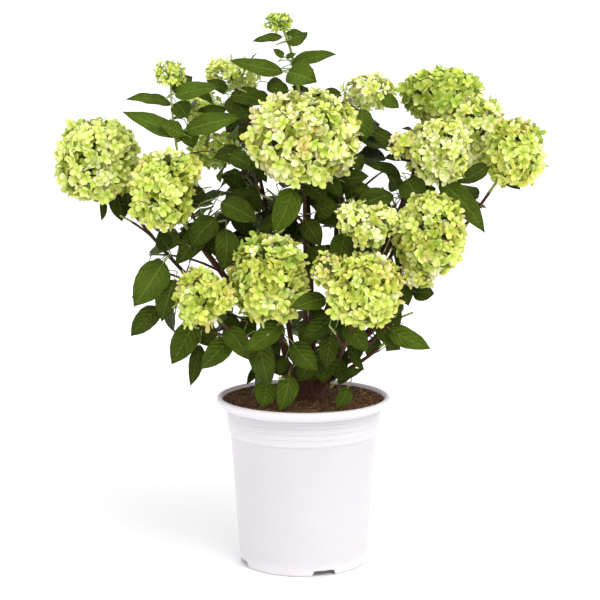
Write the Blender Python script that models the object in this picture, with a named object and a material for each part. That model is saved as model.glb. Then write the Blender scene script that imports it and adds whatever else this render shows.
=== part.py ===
"""A panicle hydrangea in flower, growing in a white nursery pot.

Metres, +Z up.  The origin is the centre of the pot's flat underside, -Y is the shrub's show side and
+X its right.  The shrub is a low woody stool that forks into legs, boughs that rise from the legs, and
one foliage mass on each bough: a leafy shoot, its side shoots, their leaves in opposite pairs and the
flower heads at their tips.  Every cane is one smooth curve from the stool to a flower head.  It is cut
twice by a fine gap, where the bough leaves the stool and where the bough enters its mass.
"""

import math
import random
from collections import namedtuple

import bmesh
import bpy
from mathutils import Matrix, Vector
from mathutils.bvhtree import BVHTree

# ------------------------------------------------------------------ shared sizes
GAP = 0.0003                    # clear space between neighbouring solids
MERGE = 0.000002
UP = Vector((0.0, 0.0, 1.0))
SHOW_SIDE = Vector((0.0, -1.0, 0.13)).normalized()

# ------------------------------------------------------------------ pot sizes
POT_HEIGHT = 0.222
POT_SEGMENTS = 32
POT_WALL = 0.002
POT_FLOOR = 0.0025
RIM_RADIUS = 0.114
RIM_OPENING = 0.107
LIP_DEPTH = 0.014
COLLAR_TOP_RADIUS = 0.1018
COLLAR_FOOT_RADIUS = 0.0980
COLLAR_FOOT = 0.1745            # height of the step below the collar
COLLAR_STEP = 0.0022
COLLAR_RING = 0.0142            # height of the moulded ring over the collar's foot
COLLAR_RING_STEP = 0.0008
SMOOTH_DEG = 32.0               # edges flatter than this are shaded smooth
FOOT_RADIUS = 0.0832
FOOT_ROUND = 0.004
FOOT_RING_INNER = 0.0785
GROOVE_INNER = 0.060            # raised ring under the pot, between its centre and its foot ring
GROOVE_HEIGHT = 0.0095
GROOVE_DRAFT = 0.003
NOTCH_HEIGHT = 0.0078
NOTCH_WIDTH = 0.036
NOTCH_TOP_WIDTH = 0.027
NOTCH_FIRST_DEG = -71.0
NOTCH_COUNT = 4
DRAIN_WIDTH = 0.016
DRAIN_LENGTH = 0.011
DRAIN_MARGIN = 0.0035           # between a drain hole and the foot ring
CUT_OVERRUN = 0.004             # cutters run this far past what they cut

# ------------------------------------------------------------------ soil sizes
SOIL_EDGE = 0.2150
SOIL_CROWN = 0.2185
SOIL_FLAT_RADIUS = 0.034        # level ground round the stool
SOIL_CRUMB = 0.0007
SOIL_CHAMFER = 0.003
SOIL_RINGS = (0.86, 0.68, 0.50)  # of the slope from its level middle to its edge
SOIL_SEGMENTS = 20

# ------------------------------------------------------------------ stool sizes
STOOL_CENTRE = Vector((0.008, 0.003))
STOOL_STRETCH = 1.22            # wider across the shrub than front to back
STOOL_LOBES = 5
STOOL_SIDES = 12
STOOL_RINGS = (                 # height over the ground, radius, depth of the root lobes
    (0.000, 0.0200, 0.16),
    (0.003, 0.0175, 0.14),
    (0.008, 0.0145, 0.10),
    (0.016, 0.0122, 0.05),
    (0.026, 0.0105, 0.00),
)
LEG_SIDES = 6
LEG_RADIUS = (0.0078, 0.0052)
LEG_STEP = 0.030
LEG_SINK = 0.007                # a leg starts this far up inside the flare
LEG_START = 0.22                # and this share of the way out to its top
LEG_SPREAD = 0.5
LEGS = {                        # tops of the woody legs
    "left_front": Vector((-0.022, -0.016, 0.268)),
    "left_back": Vector((-0.014, 0.024, 0.276)),
    "centre": Vector((0.003, -0.008, 0.288)),
    "back": Vector((0.012, 0.036, 0.282)),
    "right_back": Vector((0.040, 0.026, 0.274)),
    "right_front": Vector((0.042, -0.018, 0.268)),
}
STUB_LENGTH = 0.026             # of each cane, fused to its leg

# ------------------------------------------------------------------ cane, shoot and leaf sizes
CANE_RADIUS = (0.0035, 0.0017)  # at the stool, at the flower head
CANE_STEP = 0.036
BOW_DROP = 0.85                 # how much lower a limb sets out the further it spreads
BOUGH_SIDES = 6
SHOOT_SIDES = 4
TWIG_SIDES = 3
SIDE_SHOOT_RADIUS = (0.0018, 0.0013)
LEAF_LENGTH = 0.078
LEAF_WIDTH_SHARE = 0.58
LEAF_RIB = 0.0011               # thickness at the midrib
LEAF_FOLD = 0.20                # rise of the blade's edge over its midrib, per half width
LEAF_STATIONS = (               # step along the blade, share of its curl there, share of its width
    (0.36, 0.36, 1.00),
    (0.34, 0.34, 0.78),
)
LEAF_TIP_STEP = 0.30
LEAF_TIP_CURL = 0.40
LEAF_CLEAR = 0.0009             # kept round a leaf when its place is tested
PETIOLE_LENGTH = 0.011
PETIOLE_NECK = 0.002            # a petiole runs this far into its blade
PETIOLE_RADIUS = 0.0010
STALK_FACES = 4                 # a leaf's first faces, those of its stalk
STALK_POINTS = 6
INTERNODE = 0.031
TIP_INTERNODE = 0.8             # share of the usual spacing between the two youngest pairs
FIRST_NODE = 0.012              # below the flower head
LAST_NODE = 0.006               # over the foot of the shoot
BRANCH_BARE = 0.012             # foot of a side shoot that bears no leaves
PAIR_SIZES = (0.62, 0.90, 1.04, 1.06, 1.06, 1.04, 1.0)
LEAF_TRIES = 5
LEAF_SHRINK = 0.95

# ------------------------------------------------------------------ flower head sizes
HEAD_BUMP = 0.055               # how far the florets stand in and out, as a share of the radius
HEAD_FOOT = 0.86                # a head is this much shallower below its centre
HEAD_SHOULDER = 0.82            # below 1 fills the shoulders out, across and upwards
HEAD_CROWN = 0.90
HEAD_REACH = 0.9                # share of a head's half height that its shoot shows no leaf in
HEAD_SHADE = 0.88               # share of a head's outer face that leaves keep off
HEAD_SKIN = 1.04                # no leaf comes nearer to a head's centre than this share of its radius
SHOWY_HEAD = 0.030              # half width from which a head keeps its outer face free
SHOWN_DEPTH = 0.080             # heads nearer than this keep their show side free too
LOBE_FORK = 0.86                # where the stalk of a head's side lobe leaves its cane
LOBE_BEND = 0.3

Cane = namedtuple("Cane", "name leg seat spread tip share heads side pairs roll leaf")
Head = namedtuple("Head", "centre wide high rings spokes")
Side = namedtuple("Side", "fork heads tip pairs roll leaf")


def head(x, y, z, wide, high, rings=6, spokes=10):
    """A flower head: its centre, its half width, its half height and how finely it is cut."""
    return Head(Vector((x, y, z)), wide, high, rings, spokes)


def side(fork, heads=(), tip=None, pairs=2, roll=0.0, leaf=0.85):
    """A side shoot: where it forks from its cane (0 to 1) and its heads or its leafy tip."""
    return Side(fork, tuple(heads), tip, pairs, roll, leaf)


def cane(name, leg, tip, heads=(), side_shoots=(), seat=1.0, spread=0.6, share=0.30, pairs=4,
         roll=0.0, leaf=1.0):
    """A cane from a leg of the stool to its tip, with its flower heads and side shoots."""
    return Cane(name, leg, seat, spread, Vector(tip), share, tuple(heads), tuple(side_shoots),
                pairs, roll, leaf)


CANES = (
    cane("far_left", "left_front", (-0.268, 0.020, 0.529),
         [head(-0.268, 0.020, 0.529, 0.052, 0.053, 7, 12)],
         [side(0.42, tip=(-0.205, -0.050, 0.395), pairs=3, roll=20, leaf=1.05),
          side(0.66, tip=(-0.236, -0.010, 0.460), pairs=2, roll=50, leaf=0.95)],
         seat=0.86, spread=0.64, share=0.34, pairs=4, roll=70, leaf=0.95),
    cane("left", "left_back", (-0.181, -0.055, 0.498),
         [head(-0.181, -0.055, 0.498, 0.044, 0.051, 7, 11),
          head(-0.138, -0.047, 0.520, 0.018, 0.019, 4, 7)],
         [side(0.62, heads=[head(-0.169, -0.020, 0.643, 0.021, 0.017, 4, 7)], pairs=4, roll=40,
               leaf=1.25),
          side(0.46, tip=(-0.127, -0.015, 0.452), pairs=4, roll=30, leaf=1.05)],
         seat=0.70, spread=0.58, share=0.34, pairs=3, roll=40),
    cane("upper_left", "left_back", (-0.094, 0.100, 0.637),
         [head(-0.094, 0.100, 0.637, 0.036, 0.020, 5, 9)],
         [side(0.55, heads=[head(-0.119, 0.090, 0.537, 0.032, 0.022, 5, 9)], pairs=2, roll=60),
          side(0.66, heads=[head(-0.132, 0.066, 0.594, 0.025, 0.021, 4, 8)], pairs=2, roll=15),
          side(0.50, tip=(-0.078, 0.035, 0.500), pairs=3, roll=75, leaf=1.05)],
         seat=1.0, spread=0.45, share=0.30, pairs=6, roll=25, leaf=1.05),
    cane("centre", "centre", (-0.001, -0.075, 0.567),
         [head(-0.001, -0.075, 0.567, 0.070, 0.057, 8, 14)],
         [side(0.55, tip=(-0.055, -0.045, 0.490), pairs=4, roll=35),
          side(0.48, tip=(0.060, -0.050, 0.485), pairs=3, roll=80)],
         seat=0.98, spread=0.20, share=0.28, pairs=4, roll=20),
    cane("top", "back", (-0.031, 0.015, 0.704),
         [head(-0.031, 0.015, 0.707, 0.019, 0.012, 4, 8)],
         [side(0.62, tip=(-0.085, 0.045, 0.620), pairs=3, roll=0, leaf=1.1)],
         seat=1.0, spread=0.12, share=0.28, pairs=7, roll=50, leaf=1.25),
    cane("upper_right", "right_back", (0.090, 0.035, 0.618),
         [head(0.090, 0.035, 0.618, 0.036, 0.023, 5, 10)],
         [side(0.62, tip=(0.045, 0.050, 0.610), pairs=2, roll=10),
          side(0.52, tip=(0.110, 0.010, 0.520), pairs=3, roll=40, leaf=0.95)],
         seat=0.56, spread=0.24, share=0.30, pairs=6, roll=35),
    cane("far_upper_right", "right_back", (0.180, 0.075, 0.614),
         [head(0.180, 0.075, 0.614, 0.053, 0.034, 7, 12)],
         [side(0.74, heads=[head(0.226, 0.050, 0.569, 0.037, 0.041, 6, 10)], pairs=2, roll=45)],
         seat=0.84, spread=0.62, share=0.32, pairs=6, roll=10),
    cane("right", "right_front", (0.169, -0.045, 0.548),
         [head(0.169, -0.045, 0.548, 0.045, 0.040, 7, 11),
          head(0.128, -0.040, 0.557, 0.013, 0.014, 4, 6)],
         [side(0.58, tip=(0.100, -0.040, 0.500), pairs=4, roll=60, leaf=0.95)],
         seat=1.0, spread=0.52, share=0.32, pairs=5, roll=55, leaf=1.05),
    cane("far_right", "right_front", (0.269, -0.030, 0.542),
         [head(0.269, -0.030, 0.542, 0.035, 0.044, 6, 10)],
         [side(0.62, tip=(0.207, -0.065, 0.490), pairs=3, roll=10, leaf=1.1)],
         seat=0.84, spread=0.62, share=0.34, pairs=5, roll=15),
    cane("low_right", "right_front", (0.158, -0.088, 0.451),
         [head(0.158, -0.088, 0.451, 0.044, 0.053, 7, 11),
          head(0.156, -0.092, 0.385, 0.024, 0.023, 4, 8)],
         [side(0.42, tip=(0.140, -0.050, 0.340), pairs=4, roll=30, leaf=1.0)],
         seat=0.62, spread=0.78, share=0.34, pairs=4, roll=80),
    cane("inner_right", "centre", (0.075, -0.120, 0.466),
         [head(0.063, -0.125, 0.469, 0.022, 0.020, 4, 8),
          head(0.094, -0.120, 0.466, 0.021, 0.018, 4, 8),
          head(0.079, -0.130, 0.452, 0.018, 0.016, 4, 8)],
         [side(0.55, tip=(0.112, -0.050, 0.410), pairs=3, roll=60)],
         seat=0.66, spread=0.50, share=0.34, pairs=4, roll=15),
    cane("front", "left_front", (-0.042, -0.100, 0.397),
         [head(-0.042, -0.100, 0.397, 0.050, 0.055, 7, 12)],
         [side(0.45, tip=(-0.045, -0.115, 0.322), pairs=4, roll=20, leaf=0.9)],
         seat=0.98, spread=0.62, share=0.34, pairs=4, roll=65),
    cane("front_right", "right_front", (0.071, -0.155, 0.385),
         [head(0.071, -0.155, 0.385, 0.050, 0.044, 7, 12),
          head(0.030, -0.151, 0.410, 0.018, 0.020, 4, 7)],
         [side(0.42, tip=(0.032, -0.120, 0.335), pairs=4, roll=40, leaf=0.95)],
         seat=0.46, spread=0.70, share=0.34, pairs=4, roll=30),
    cane("low_left", "left_front", (-0.127, -0.120, 0.371),
         [head(-0.127, -0.120, 0.371, 0.032, 0.035, 5, 9),
          head(-0.099, -0.134, 0.377, 0.009, 0.009, 3, 6)],
         [side(0.46, tip=(-0.150, -0.060, 0.325), pairs=3, roll=70, leaf=1.0)],
         seat=0.66, spread=0.66, share=0.34, pairs=3, roll=20, leaf=0.95),
    cane("back_left", "left_back", (-0.190, 0.130, 0.485),
         [head(-0.190, 0.130, 0.485, 0.045, 0.043, 6, 9)],
         [side(0.50, tip=(-0.205, 0.060, 0.400), pairs=2, roll=45)],
         seat=0.84, spread=0.60, share=0.34, pairs=4, roll=15),
    cane("back", "back", (0.005, 0.170, 0.545),
         [head(0.005, 0.170, 0.545, 0.055, 0.048, 6, 10)],
         [side(0.50, tip=(-0.050, 0.140, 0.480), pairs=2, roll=10),
          side(0.56, tip=(0.060, 0.150, 0.480), pairs=2, roll=50)],
         seat=0.78, spread=0.64, share=0.32, pairs=3, roll=35),
    cane("back_right", "right_back", (0.190, 0.165, 0.530),
         [head(0.190, 0.165, 0.530, 0.048, 0.043, 6, 9)],
         [side(0.55, tip=(0.120, 0.140, 0.470), pairs=2, roll=30)],
         seat=1.0, spread=0.60, share=0.34, pairs=4, roll=60),
    cane("low_back_left", "left_back", (-0.060, 0.175, 0.365),
         [head(-0.060, 0.175, 0.365, 0.044, 0.044, 6, 9)],
         [side(0.50, tip=(-0.120, 0.120, 0.340), pairs=2, roll=60)],
         seat=0.54, spread=0.70, share=0.36, pairs=3, roll=20),
    cane("low_back_right", "back", (0.092, 0.180, 0.420),
         [head(0.092, 0.180, 0.420, 0.040, 0.038, 5, 9)],
         [side(0.46, tip=(0.110, 0.130, 0.340), pairs=2, roll=15)],
         seat=0.56, spread=0.62, share=0.36, pairs=3, roll=75),
    cane("side_right", "right_back", (0.176, 0.098, 0.424),
         [head(0.176, 0.096, 0.422, 0.037, 0.037, 5, 9)],
         [side(0.46, tip=(0.150, 0.060, 0.350), pairs=3, roll=35)],
         seat=0.34, spread=0.66, share=0.36, pairs=3, roll=5),
)

# Leafy shoots with no flower head, low on the stool, whose masses meet it with no bough between.
SKIRTS = (
    cane("front_skirt", "left_front", (-0.030, -0.088, 0.262), seat=0.40, spread=0.5, share=0.0,
         pairs=4, roll=0, leaf=0.8),
    cane("left_skirt", "left_front", (-0.110, -0.055, 0.312), seat=0.50, spread=0.62, share=0.0,
         pairs=5, roll=30, leaf=0.95),
    cane("right_skirt", "right_front", (0.110, -0.045, 0.305), seat=0.26, spread=0.62, share=0.0,
         pairs=5, roll=60, leaf=0.95),
    cane("back_skirt", "left_back", (-0.020, 0.105, 0.300), seat=0.36, spread=0.62, share=0.0,
         pairs=4, roll=20, leaf=0.95),
)


# ------------------------------------------------------------------ general modelling helpers
def clear_scene():
    """Remove every object, mesh and material that the file already holds."""
    for item in list(bpy.data.objects):
        bpy.data.objects.remove(item, do_unlink=True)
    for block in (bpy.data.meshes, bpy.data.materials):
        for item in list(block):
            block.remove(item)


def finish(name, colour, roughness, metallic=0.0):
    """A Principled material in one colour."""
    material = bpy.data.materials.get(name) or bpy.data.materials.new(name)
    material.use_nodes = True
    shader = material.node_tree.nodes["Principled BSDF"]
    shader.inputs["Base Color"].default_value = (*colour, 1.0)
    shader.inputs["Roughness"].default_value = roughness
    shader.inputs["Metallic"].default_value = metallic
    material.diffuse_color = (*colour, 1.0)
    return material


def mesh_object(name, verts, faces, materials=()):
    """An object from loose lists of points and faces."""
    mesh = bpy.data.meshes.new(name)
    mesh.from_pydata([tuple(v) for v in verts], [], faces)
    for material in materials:
        mesh.materials.append(material)
    item = bpy.data.objects.new(name, mesh)
    bpy.context.collection.objects.link(item)
    return item


def lathe(name, profile, segments, material):
    """Spin an open profile of (radius, height) points, both ends on the axis, into a closed solid."""
    bm = bmesh.new()
    points = [bm.verts.new((radius, 0.0, height)) for radius, height in profile]
    edges = [bm.edges.new(pair) for pair in zip(points, points[1:])]
    bmesh.ops.spin(bm, geom=points + edges, cent=(0, 0, 0), axis=(0, 0, 1),
                   angle=math.tau, steps=segments, use_duplicate=False)
    bmesh.ops.remove_doubles(bm, verts=bm.verts, dist=MERGE)
    bmesh.ops.recalc_face_normals(bm, faces=bm.faces)
    item = mesh_object(name, [], [], [material])
    bm.to_mesh(item.data)
    bm.free()
    item.data.shade_smooth()
    item.data.set_sharp_from_angle(angle=math.radians(SMOOTH_DEG))
    return item


def cut(item, cutter):
    """Subtract a hidden cutter from an object."""
    modifier = item.modifiers.new(cutter.name, "BOOLEAN")
    modifier.operation = "DIFFERENCE"
    modifier.solver = "EXACT"
    modifier.object = cutter
    cutter.hide_render = True
    cutter.display_type = "WIRE"


def prism(section, depth_start, depth_end, turn):
    """Points and faces of a section in (sideways, up) carried outwards, turned about the Z axis."""
    count = len(section)
    spin = Matrix.Rotation(turn, 3, "Z")
    verts = [spin @ Vector((across, -depth, up))
             for depth in (depth_start, depth_end) for across, up in section]
    faces = [tuple(range(count - 1, -1, -1)), tuple(range(count, 2 * count))]
    faces += [(i, (i + 1) % count, (i + 1) % count + count, i + count) for i in range(count)]
    return verts, faces


def join_lists(parts):
    """One list of points and one of faces from several."""
    verts, faces = [], []
    for part_verts, part_faces in parts:
        start = len(verts)
        verts += part_verts
        faces += [tuple(i + start for i in face) for face in part_faces]
    return verts, faces


# ------------------------------------------------------------------ pot and soil
def outer_wall():
    """The pot's outside, from its foot up to the inner edge of its rim, as (radius, height)."""
    collar_mid = (COLLAR_TOP_RADIUS + COLLAR_FOOT_RADIUS) / 2
    ring = COLLAR_FOOT + COLLAR_RING
    lip_foot = POT_HEIGHT - LIP_DEPTH
    return [
        (FOOT_RADIUS - FOOT_ROUND, 0.0),
        (FOOT_RADIUS - FOOT_ROUND * 0.3, FOOT_ROUND * 0.3),
        (FOOT_RADIUS, FOOT_ROUND),
        (COLLAR_FOOT_RADIUS - COLLAR_STEP, COLLAR_FOOT - 0.002),
        (COLLAR_FOOT_RADIUS, COLLAR_FOOT + 0.001),
        (collar_mid - COLLAR_RING_STEP / 2, ring - COLLAR_RING_STEP),
        (collar_mid + COLLAR_RING_STEP / 2, ring + COLLAR_RING_STEP),
        (COLLAR_TOP_RADIUS, lip_foot - 0.003),
        (RIM_RADIUS - 0.0015, lip_foot + 0.0055),
        (RIM_RADIUS, lip_foot + 0.0080),
        (RIM_RADIUS, POT_HEIGHT - 0.0030),
        (RIM_RADIUS - 0.0022, POT_HEIGHT),
        (RIM_OPENING + 0.001, POT_HEIGHT),
        (RIM_OPENING, POT_HEIGHT - 0.001),
    ]


def inner_wall():
    """The pot's inside below its rim, from the top down to its floor, as (radius, height)."""
    lip_foot = POT_HEIGHT - LIP_DEPTH
    floor = GROOVE_HEIGHT + POT_FLOOR
    return [
        (RIM_OPENING - 0.0015, POT_HEIGHT - 0.0050),
        (COLLAR_TOP_RADIUS - POT_WALL + 0.001, lip_foot + 0.0005),
        (COLLAR_FOOT_RADIUS - POT_WALL - COLLAR_STEP, COLLAR_FOOT),
        (FOOT_RADIUS - POT_WALL + 0.0004, floor),
    ]


def build_pot():
    """The nursery pot: a thin wall with a stepped collar and rolled lip, foot ring and drain notches."""
    floor = GROOVE_HEIGHT + POT_FLOOR
    underside = [
        (0.0, 0.0),
        (GROOVE_INNER - GROOVE_DRAFT, 0.0),
        (GROOVE_INNER, GROOVE_HEIGHT),
        (FOOT_RING_INNER - 0.001, GROOVE_HEIGHT),
        (FOOT_RING_INNER, 0.0),
    ]
    profile = underside + outer_wall() + inner_wall() + [(0.0, floor)]
    plastic = finish("white_moulded_plastic", (0.83, 0.80, 0.83), 0.42)
    pot = lathe("nursery_pot", profile, POT_SEGMENTS, plastic)
    notch = [(-NOTCH_WIDTH / 2, -CUT_OVERRUN), (NOTCH_WIDTH / 2, -CUT_OVERRUN),
             (NOTCH_TOP_WIDTH / 2, NOTCH_HEIGHT), (-NOTCH_TOP_WIDTH / 2, NOTCH_HEIGHT)]
    drain_foot = GROOVE_HEIGHT - CUT_OVERRUN
    drain_top = floor + CUT_OVERRUN
    drain = [(-DRAIN_WIDTH / 2, drain_foot), (DRAIN_WIDTH / 2, drain_foot),
             (DRAIN_WIDTH / 2, drain_top), (-DRAIN_WIDTH / 2, drain_top)]
    drain_end = FOOT_RING_INNER - DRAIN_MARGIN
    notches, drains = [], []
    for index in range(NOTCH_COUNT):
        turn = math.radians(NOTCH_FIRST_DEG + index * 360 / NOTCH_COUNT)
        notches.append(prism(notch, FOOT_RING_INNER - CUT_OVERRUN, RIM_RADIUS, turn))
        drains.append(prism(drain, drain_end - DRAIN_LENGTH, drain_end, turn))
    cut(pot, mesh_object("notch_cutter", *join_lists(notches)))
    cut(pot, mesh_object("drain_cutter", *join_lists(drains)))
    return pot


def build_soil():
    """The potting mix: it fills the pot, dips to the wall and is level round the stool."""
    rng = random.Random("soil")
    floor = GROOVE_HEIGHT + POT_FLOOR + GAP
    facet_rise = RIM_OPENING * (1.0 - math.cos(math.pi / POT_SEGMENTS))
    wall_gap = GAP + facet_rise     # the faceted wall comes in between its corners
    (lip_radius, lip_height), upper, lower, (foot_radius, _) = inner_wall()
    lip_slope = (lip_radius - upper[0]) / (lip_height - upper[1])
    top_height = SOIL_EDGE - SOIL_CHAMFER / 3
    top_radius = upper[0] + (top_height - upper[1]) * lip_slope - wall_gap
    profile = [(0.0, floor), (foot_radius - wall_gap, floor)]
    profile += [(radius - wall_gap, height) for radius, height in (lower, upper)]
    profile += [(top_radius, top_height), (top_radius - SOIL_CHAMFER, SOIL_EDGE)]
    profile += [(SOIL_FLAT_RADIUS + (top_radius - SOIL_FLAT_RADIUS) * share,
                 SOIL_CROWN + (SOIL_EDGE - SOIL_CROWN) * share) for share in SOIL_RINGS]
    profile += [(SOIL_FLAT_RADIUS, SOIL_CROWN), (0.0, SOIL_CROWN)]
    mix = finish("dark_potting_mix", (0.050, 0.030, 0.018), 0.95)
    soil = lathe("potting_soil", profile, SOIL_SEGMENTS, mix)
    inner_limit, outer_limit = SOIL_FLAT_RADIUS + SOIL_CHAMFER, top_radius - 1.1 * SOIL_CHAMFER
    for vert in soil.data.vertices:
        radius = math.hypot(vert.co.x, vert.co.y)
        if vert.co.z > SOIL_EDGE - SOIL_CRUMB and inner_limit < radius < outer_limit:
            vert.co.z += rng.uniform(-SOIL_CRUMB, SOIL_CRUMB)
    return soil


def rim_surface():
    """Points and faces of the pot's wall, coarse, for leaves to keep clear of."""
    rings = outer_wall() + inner_wall()
    verts = [Vector((radius * math.cos(math.tau * k / SOIL_SEGMENTS),
                     radius * math.sin(math.tau * k / SOIL_SEGMENTS), height))
             for radius, height in rings for k in range(SOIL_SEGMENTS)]
    faces = []
    for low in range(0, (len(rings) - 1) * SOIL_SEGMENTS, SOIL_SEGMENTS):
        for k in range(SOIL_SEGMENTS):
            after = (k + 1) % SOIL_SEGMENTS
            faces.append((low + k, low + after, low + after + SOIL_SEGMENTS, low + k + SOIL_SEGMENTS))
    return verts, faces


# ------------------------------------------------------------------ curves and limbs
def bow(start, tip, spread):
    """Control point of a limb: it sets out sideways by its spread, then turns up to its tip."""
    across = Vector((tip.x - start.x, tip.y - start.y, 0.0))
    return start + across * spread + UP * (tip.z - start.z) * (1.0 - spread * BOW_DROP)


def on_curve(start, control, tip, t):
    """Point of a quadratic curve."""
    return start * (1 - t) ** 2 + control * (2 * t * (1 - t)) + tip * t ** 2


def frames(directions):
    """For each direction along a limb two axes across it, carried along untwisted."""
    result = []
    across = None
    for along in directions:
        if across is None:
            across = along.cross(Vector((0.0, 1.0, 0.0)))
            if across.length < 0.2:
                across = along.cross(Vector((1.0, 0.0, 0.0)))
        across = (across - along * across.dot(along)).normalized()
        result.append((across, along.cross(across)))
    return result


def tube(points, directions, radii, sides):
    """Points and faces of a closed limb with flat ends, of one direction and radius at each point."""
    verts, faces = [], []
    for point, radius, (first, second) in zip(points, radii, frames(directions)):
        for k in range(sides):
            angle = math.tau * k / sides
            verts.append(point + first * (math.cos(angle) * radius) + second * (math.sin(angle) * radius))
    last = len(points) - 1
    for ring in range(last):
        for k in range(sides):
            a, b = ring * sides + k, ring * sides + (k + 1) % sides
            faces.append((a, b, b + sides, a + sides))
    faces.append(tuple(range(sides - 1, -1, -1)))
    faces.append(tuple(range(last * sides, last * sides + sides)))
    return verts, faces


class Path:
    """A smooth cane, read by the distance from its seat on the stool."""

    STEPS = 48

    def __init__(self, start, control, tip, radius_start, radius_end):
        self.points = [on_curve(start, control, tip, i / self.STEPS) for i in range(self.STEPS + 1)]
        self.reach = [0.0]
        for a, b in zip(self.points, self.points[1:]):
            self.reach.append(self.reach[-1] + (b - a).length)
        self.length = self.reach[-1]
        self.radii = (radius_start, radius_end)

    def at(self, distance):
        """Point and direction at a distance from the start."""
        distance = min(max(distance, 0.0), self.length)
        index = 0
        while index < self.STEPS - 1 and self.reach[index + 1] < distance:
            index += 1
        a, b = self.points[index], self.points[index + 1]
        share = (distance - self.reach[index]) / (self.reach[index + 1] - self.reach[index])
        return a.lerp(b, share), (b - a).normalized()

    def radius(self, distance):
        """Radius at a distance from the start."""
        first, last = self.radii
        return first + (last - first) * min(max(distance / self.length, 0.0), 1.0)

    def limb(self, start, end, sides, step=CANE_STEP):
        """The limb between two distances, as points and faces."""
        count = max(2, round((end - start) / step) + 1)
        stops = [start + (end - start) * i / (count - 1) for i in range(count)]
        points, directions = zip(*(self.at(stop) for stop in stops))
        return tube(points, directions, [self.radius(stop) for stop in stops], sides)


# ------------------------------------------------------------------ flower heads and leaves
def flower_head(shape, rng):
    """A closed ball with blunt shoulders, its points shifted in and out like the florets it stands for."""
    verts = [shape.centre - UP * shape.high * HEAD_FOOT]
    for ring in range(1, shape.rings):
        lean = -math.pi / 2 + math.pi * ring / shape.rings
        for spoke in range(shape.spokes):
            angle = math.tau * (spoke + 0.5 * (ring % 2)) / shape.spokes
            bump = 1.0 + rng.uniform(-HEAD_BUMP, HEAD_BUMP)
            flat = abs(math.cos(lean)) ** HEAD_SHOULDER * shape.wide * bump
            height = math.copysign(abs(math.sin(lean)) ** HEAD_CROWN, lean) * shape.high * bump
            verts.append(shape.centre + Vector((flat * math.cos(angle), flat * math.sin(angle), height)))
    verts.append(shape.centre + UP * shape.high)
    faces = []
    spokes, top = shape.spokes, len(verts) - 1
    for k in range(spokes):
        after = (k + 1) % spokes
        faces.append((0, 1 + after, 1 + k))
        crown = 1 + (shape.rings - 2) * spokes
        faces.append((top, crown + k, crown + after))
    for ring in range(shape.rings - 2):
        low, high = 1 + ring * spokes, 1 + (ring + 1) * spokes
        for k in range(spokes):
            after = (k + 1) % spokes
            if ring % 2:
                faces += [(low + k, low + after, high + k), (low + after, high + after, high + k)]
            else:
                faces += [(low + k, low + after, high + after), (low + k, high + after, high + k)]
    return verts, faces


def leaf_blade(anchor, along, face, length, curl, extra=0.0):
    """An ovate leaf on its stalk, folded along the midrib and curling down towards its tip.

    anchor is on the shoot's axis, along the stalk's direction, face the upper side and extra is
    added all round where only the leaf's clearance is wanted.
    """
    sideways = along.cross(face).normalized()
    face = sideways.cross(along).normalized()
    half_width = length * LEAF_WIDTH_SHARE / 2 + extra
    petiole = PETIOLE_RADIUS + extra
    thick = LEAF_RIB / 2 + extra

    def triangle(centre):
        top = face * petiole * 0.6
        return [centre + sideways * petiole + top, centre - sideways * petiole + top,
                centre - face * petiole]

    rib = anchor + along * (PETIOLE_LENGTH + PETIOLE_NECK)
    verts = triangle(anchor) + triangle(rib)
    direction, normal = along.copy(), face.copy()
    for step, bend, width in LEAF_STATIONS:
        turn = Matrix.Rotation(-curl * bend, 3, sideways)
        direction, normal = turn @ direction, turn @ normal
        rib = rib + direction * (length * step)
        edge = half_width * width
        lift = normal * edge * LEAF_FOLD
        verts += [rib + sideways * edge + lift, rib + normal * thick,
                  rib - sideways * edge + lift, rib - normal * thick]
    turn = Matrix.Rotation(-curl * LEAF_TIP_CURL, 3, sideways)
    verts.append(rib + (turn @ direction) * (length * LEAF_TIP_STEP + extra))
    faces = [(2, 1, 0), (0, 1, 4, 3), (1, 2, 5, 4), (2, 0, 3, 5),
             (3, 4, 7), (3, 7, 6), (4, 8, 7), (5, 3, 6), (5, 6, 9), (5, 9, 8), (5, 8, 4)]
    faces += [(6, 7, 11, 10), (7, 8, 12, 11), (8, 9, 13, 12), (9, 6, 10, 13)]
    faces += [(10, 11, 14), (11, 12, 14), (12, 13, 14), (13, 10, 14)]
    return verts, faces


def tree_of(solid):
    """A search tree over a solid's faces, with its box, for tests of touching."""
    verts, faces = solid
    low = Vector([min(v[i] for v in verts) for i in range(3)])
    high = Vector([max(v[i] for v in verts) for i in range(3)])
    return BVHTree.FromPolygons(verts, faces), low, high


def touching(one, other):
    """Whether two search trees' surfaces cross."""
    tree_a, low_a, high_a = one
    tree_b, low_b, high_b = other
    if any(low_a[i] > high_b[i] or low_b[i] > high_a[i] for i in range(3)):
        return False
    return bool(tree_a.overlap(tree_b))


class Mass:
    """One foliage mass while it grows: its solids and the places of its shoots and heads."""

    def __init__(self, plan):
        self.plan = plan
        self.rng = random.Random(plan.name)
        self.solids = []
        self.shoots = []        # (path, start, end, heads, pairs, roll, leaf size)
        self.trees = []

    def add(self, solid):
        """Take a solid into the mass, with a search tree that other masses keep clear of."""
        self.solids.append(solid)
        self.trees.append(tree_of(solid))


def leg_path(name):
    """A woody leg of the stool, from inside its flare to its top."""
    top = LEGS[name]
    start = Vector((STOOL_CENTRE.x, STOOL_CENTRE.y, SOIL_CROWN + GAP + LEG_SINK))
    start += Vector((top.x - start.x, top.y - start.y, 0.0)) * LEG_START
    return Path(start, bow(start, top, LEG_SPREAD), top, *LEG_RADIUS)


def cane_path(plan):
    """A cane's whole curve, from its seat on a leg to the middle of its first flower head."""
    leg = leg_path(plan.leg)
    start, _ = leg.at(leg.length * plan.seat)
    return Path(start, bow(start, plan.tip, plan.spread), plan.tip, *CANE_RADIUS)


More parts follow.
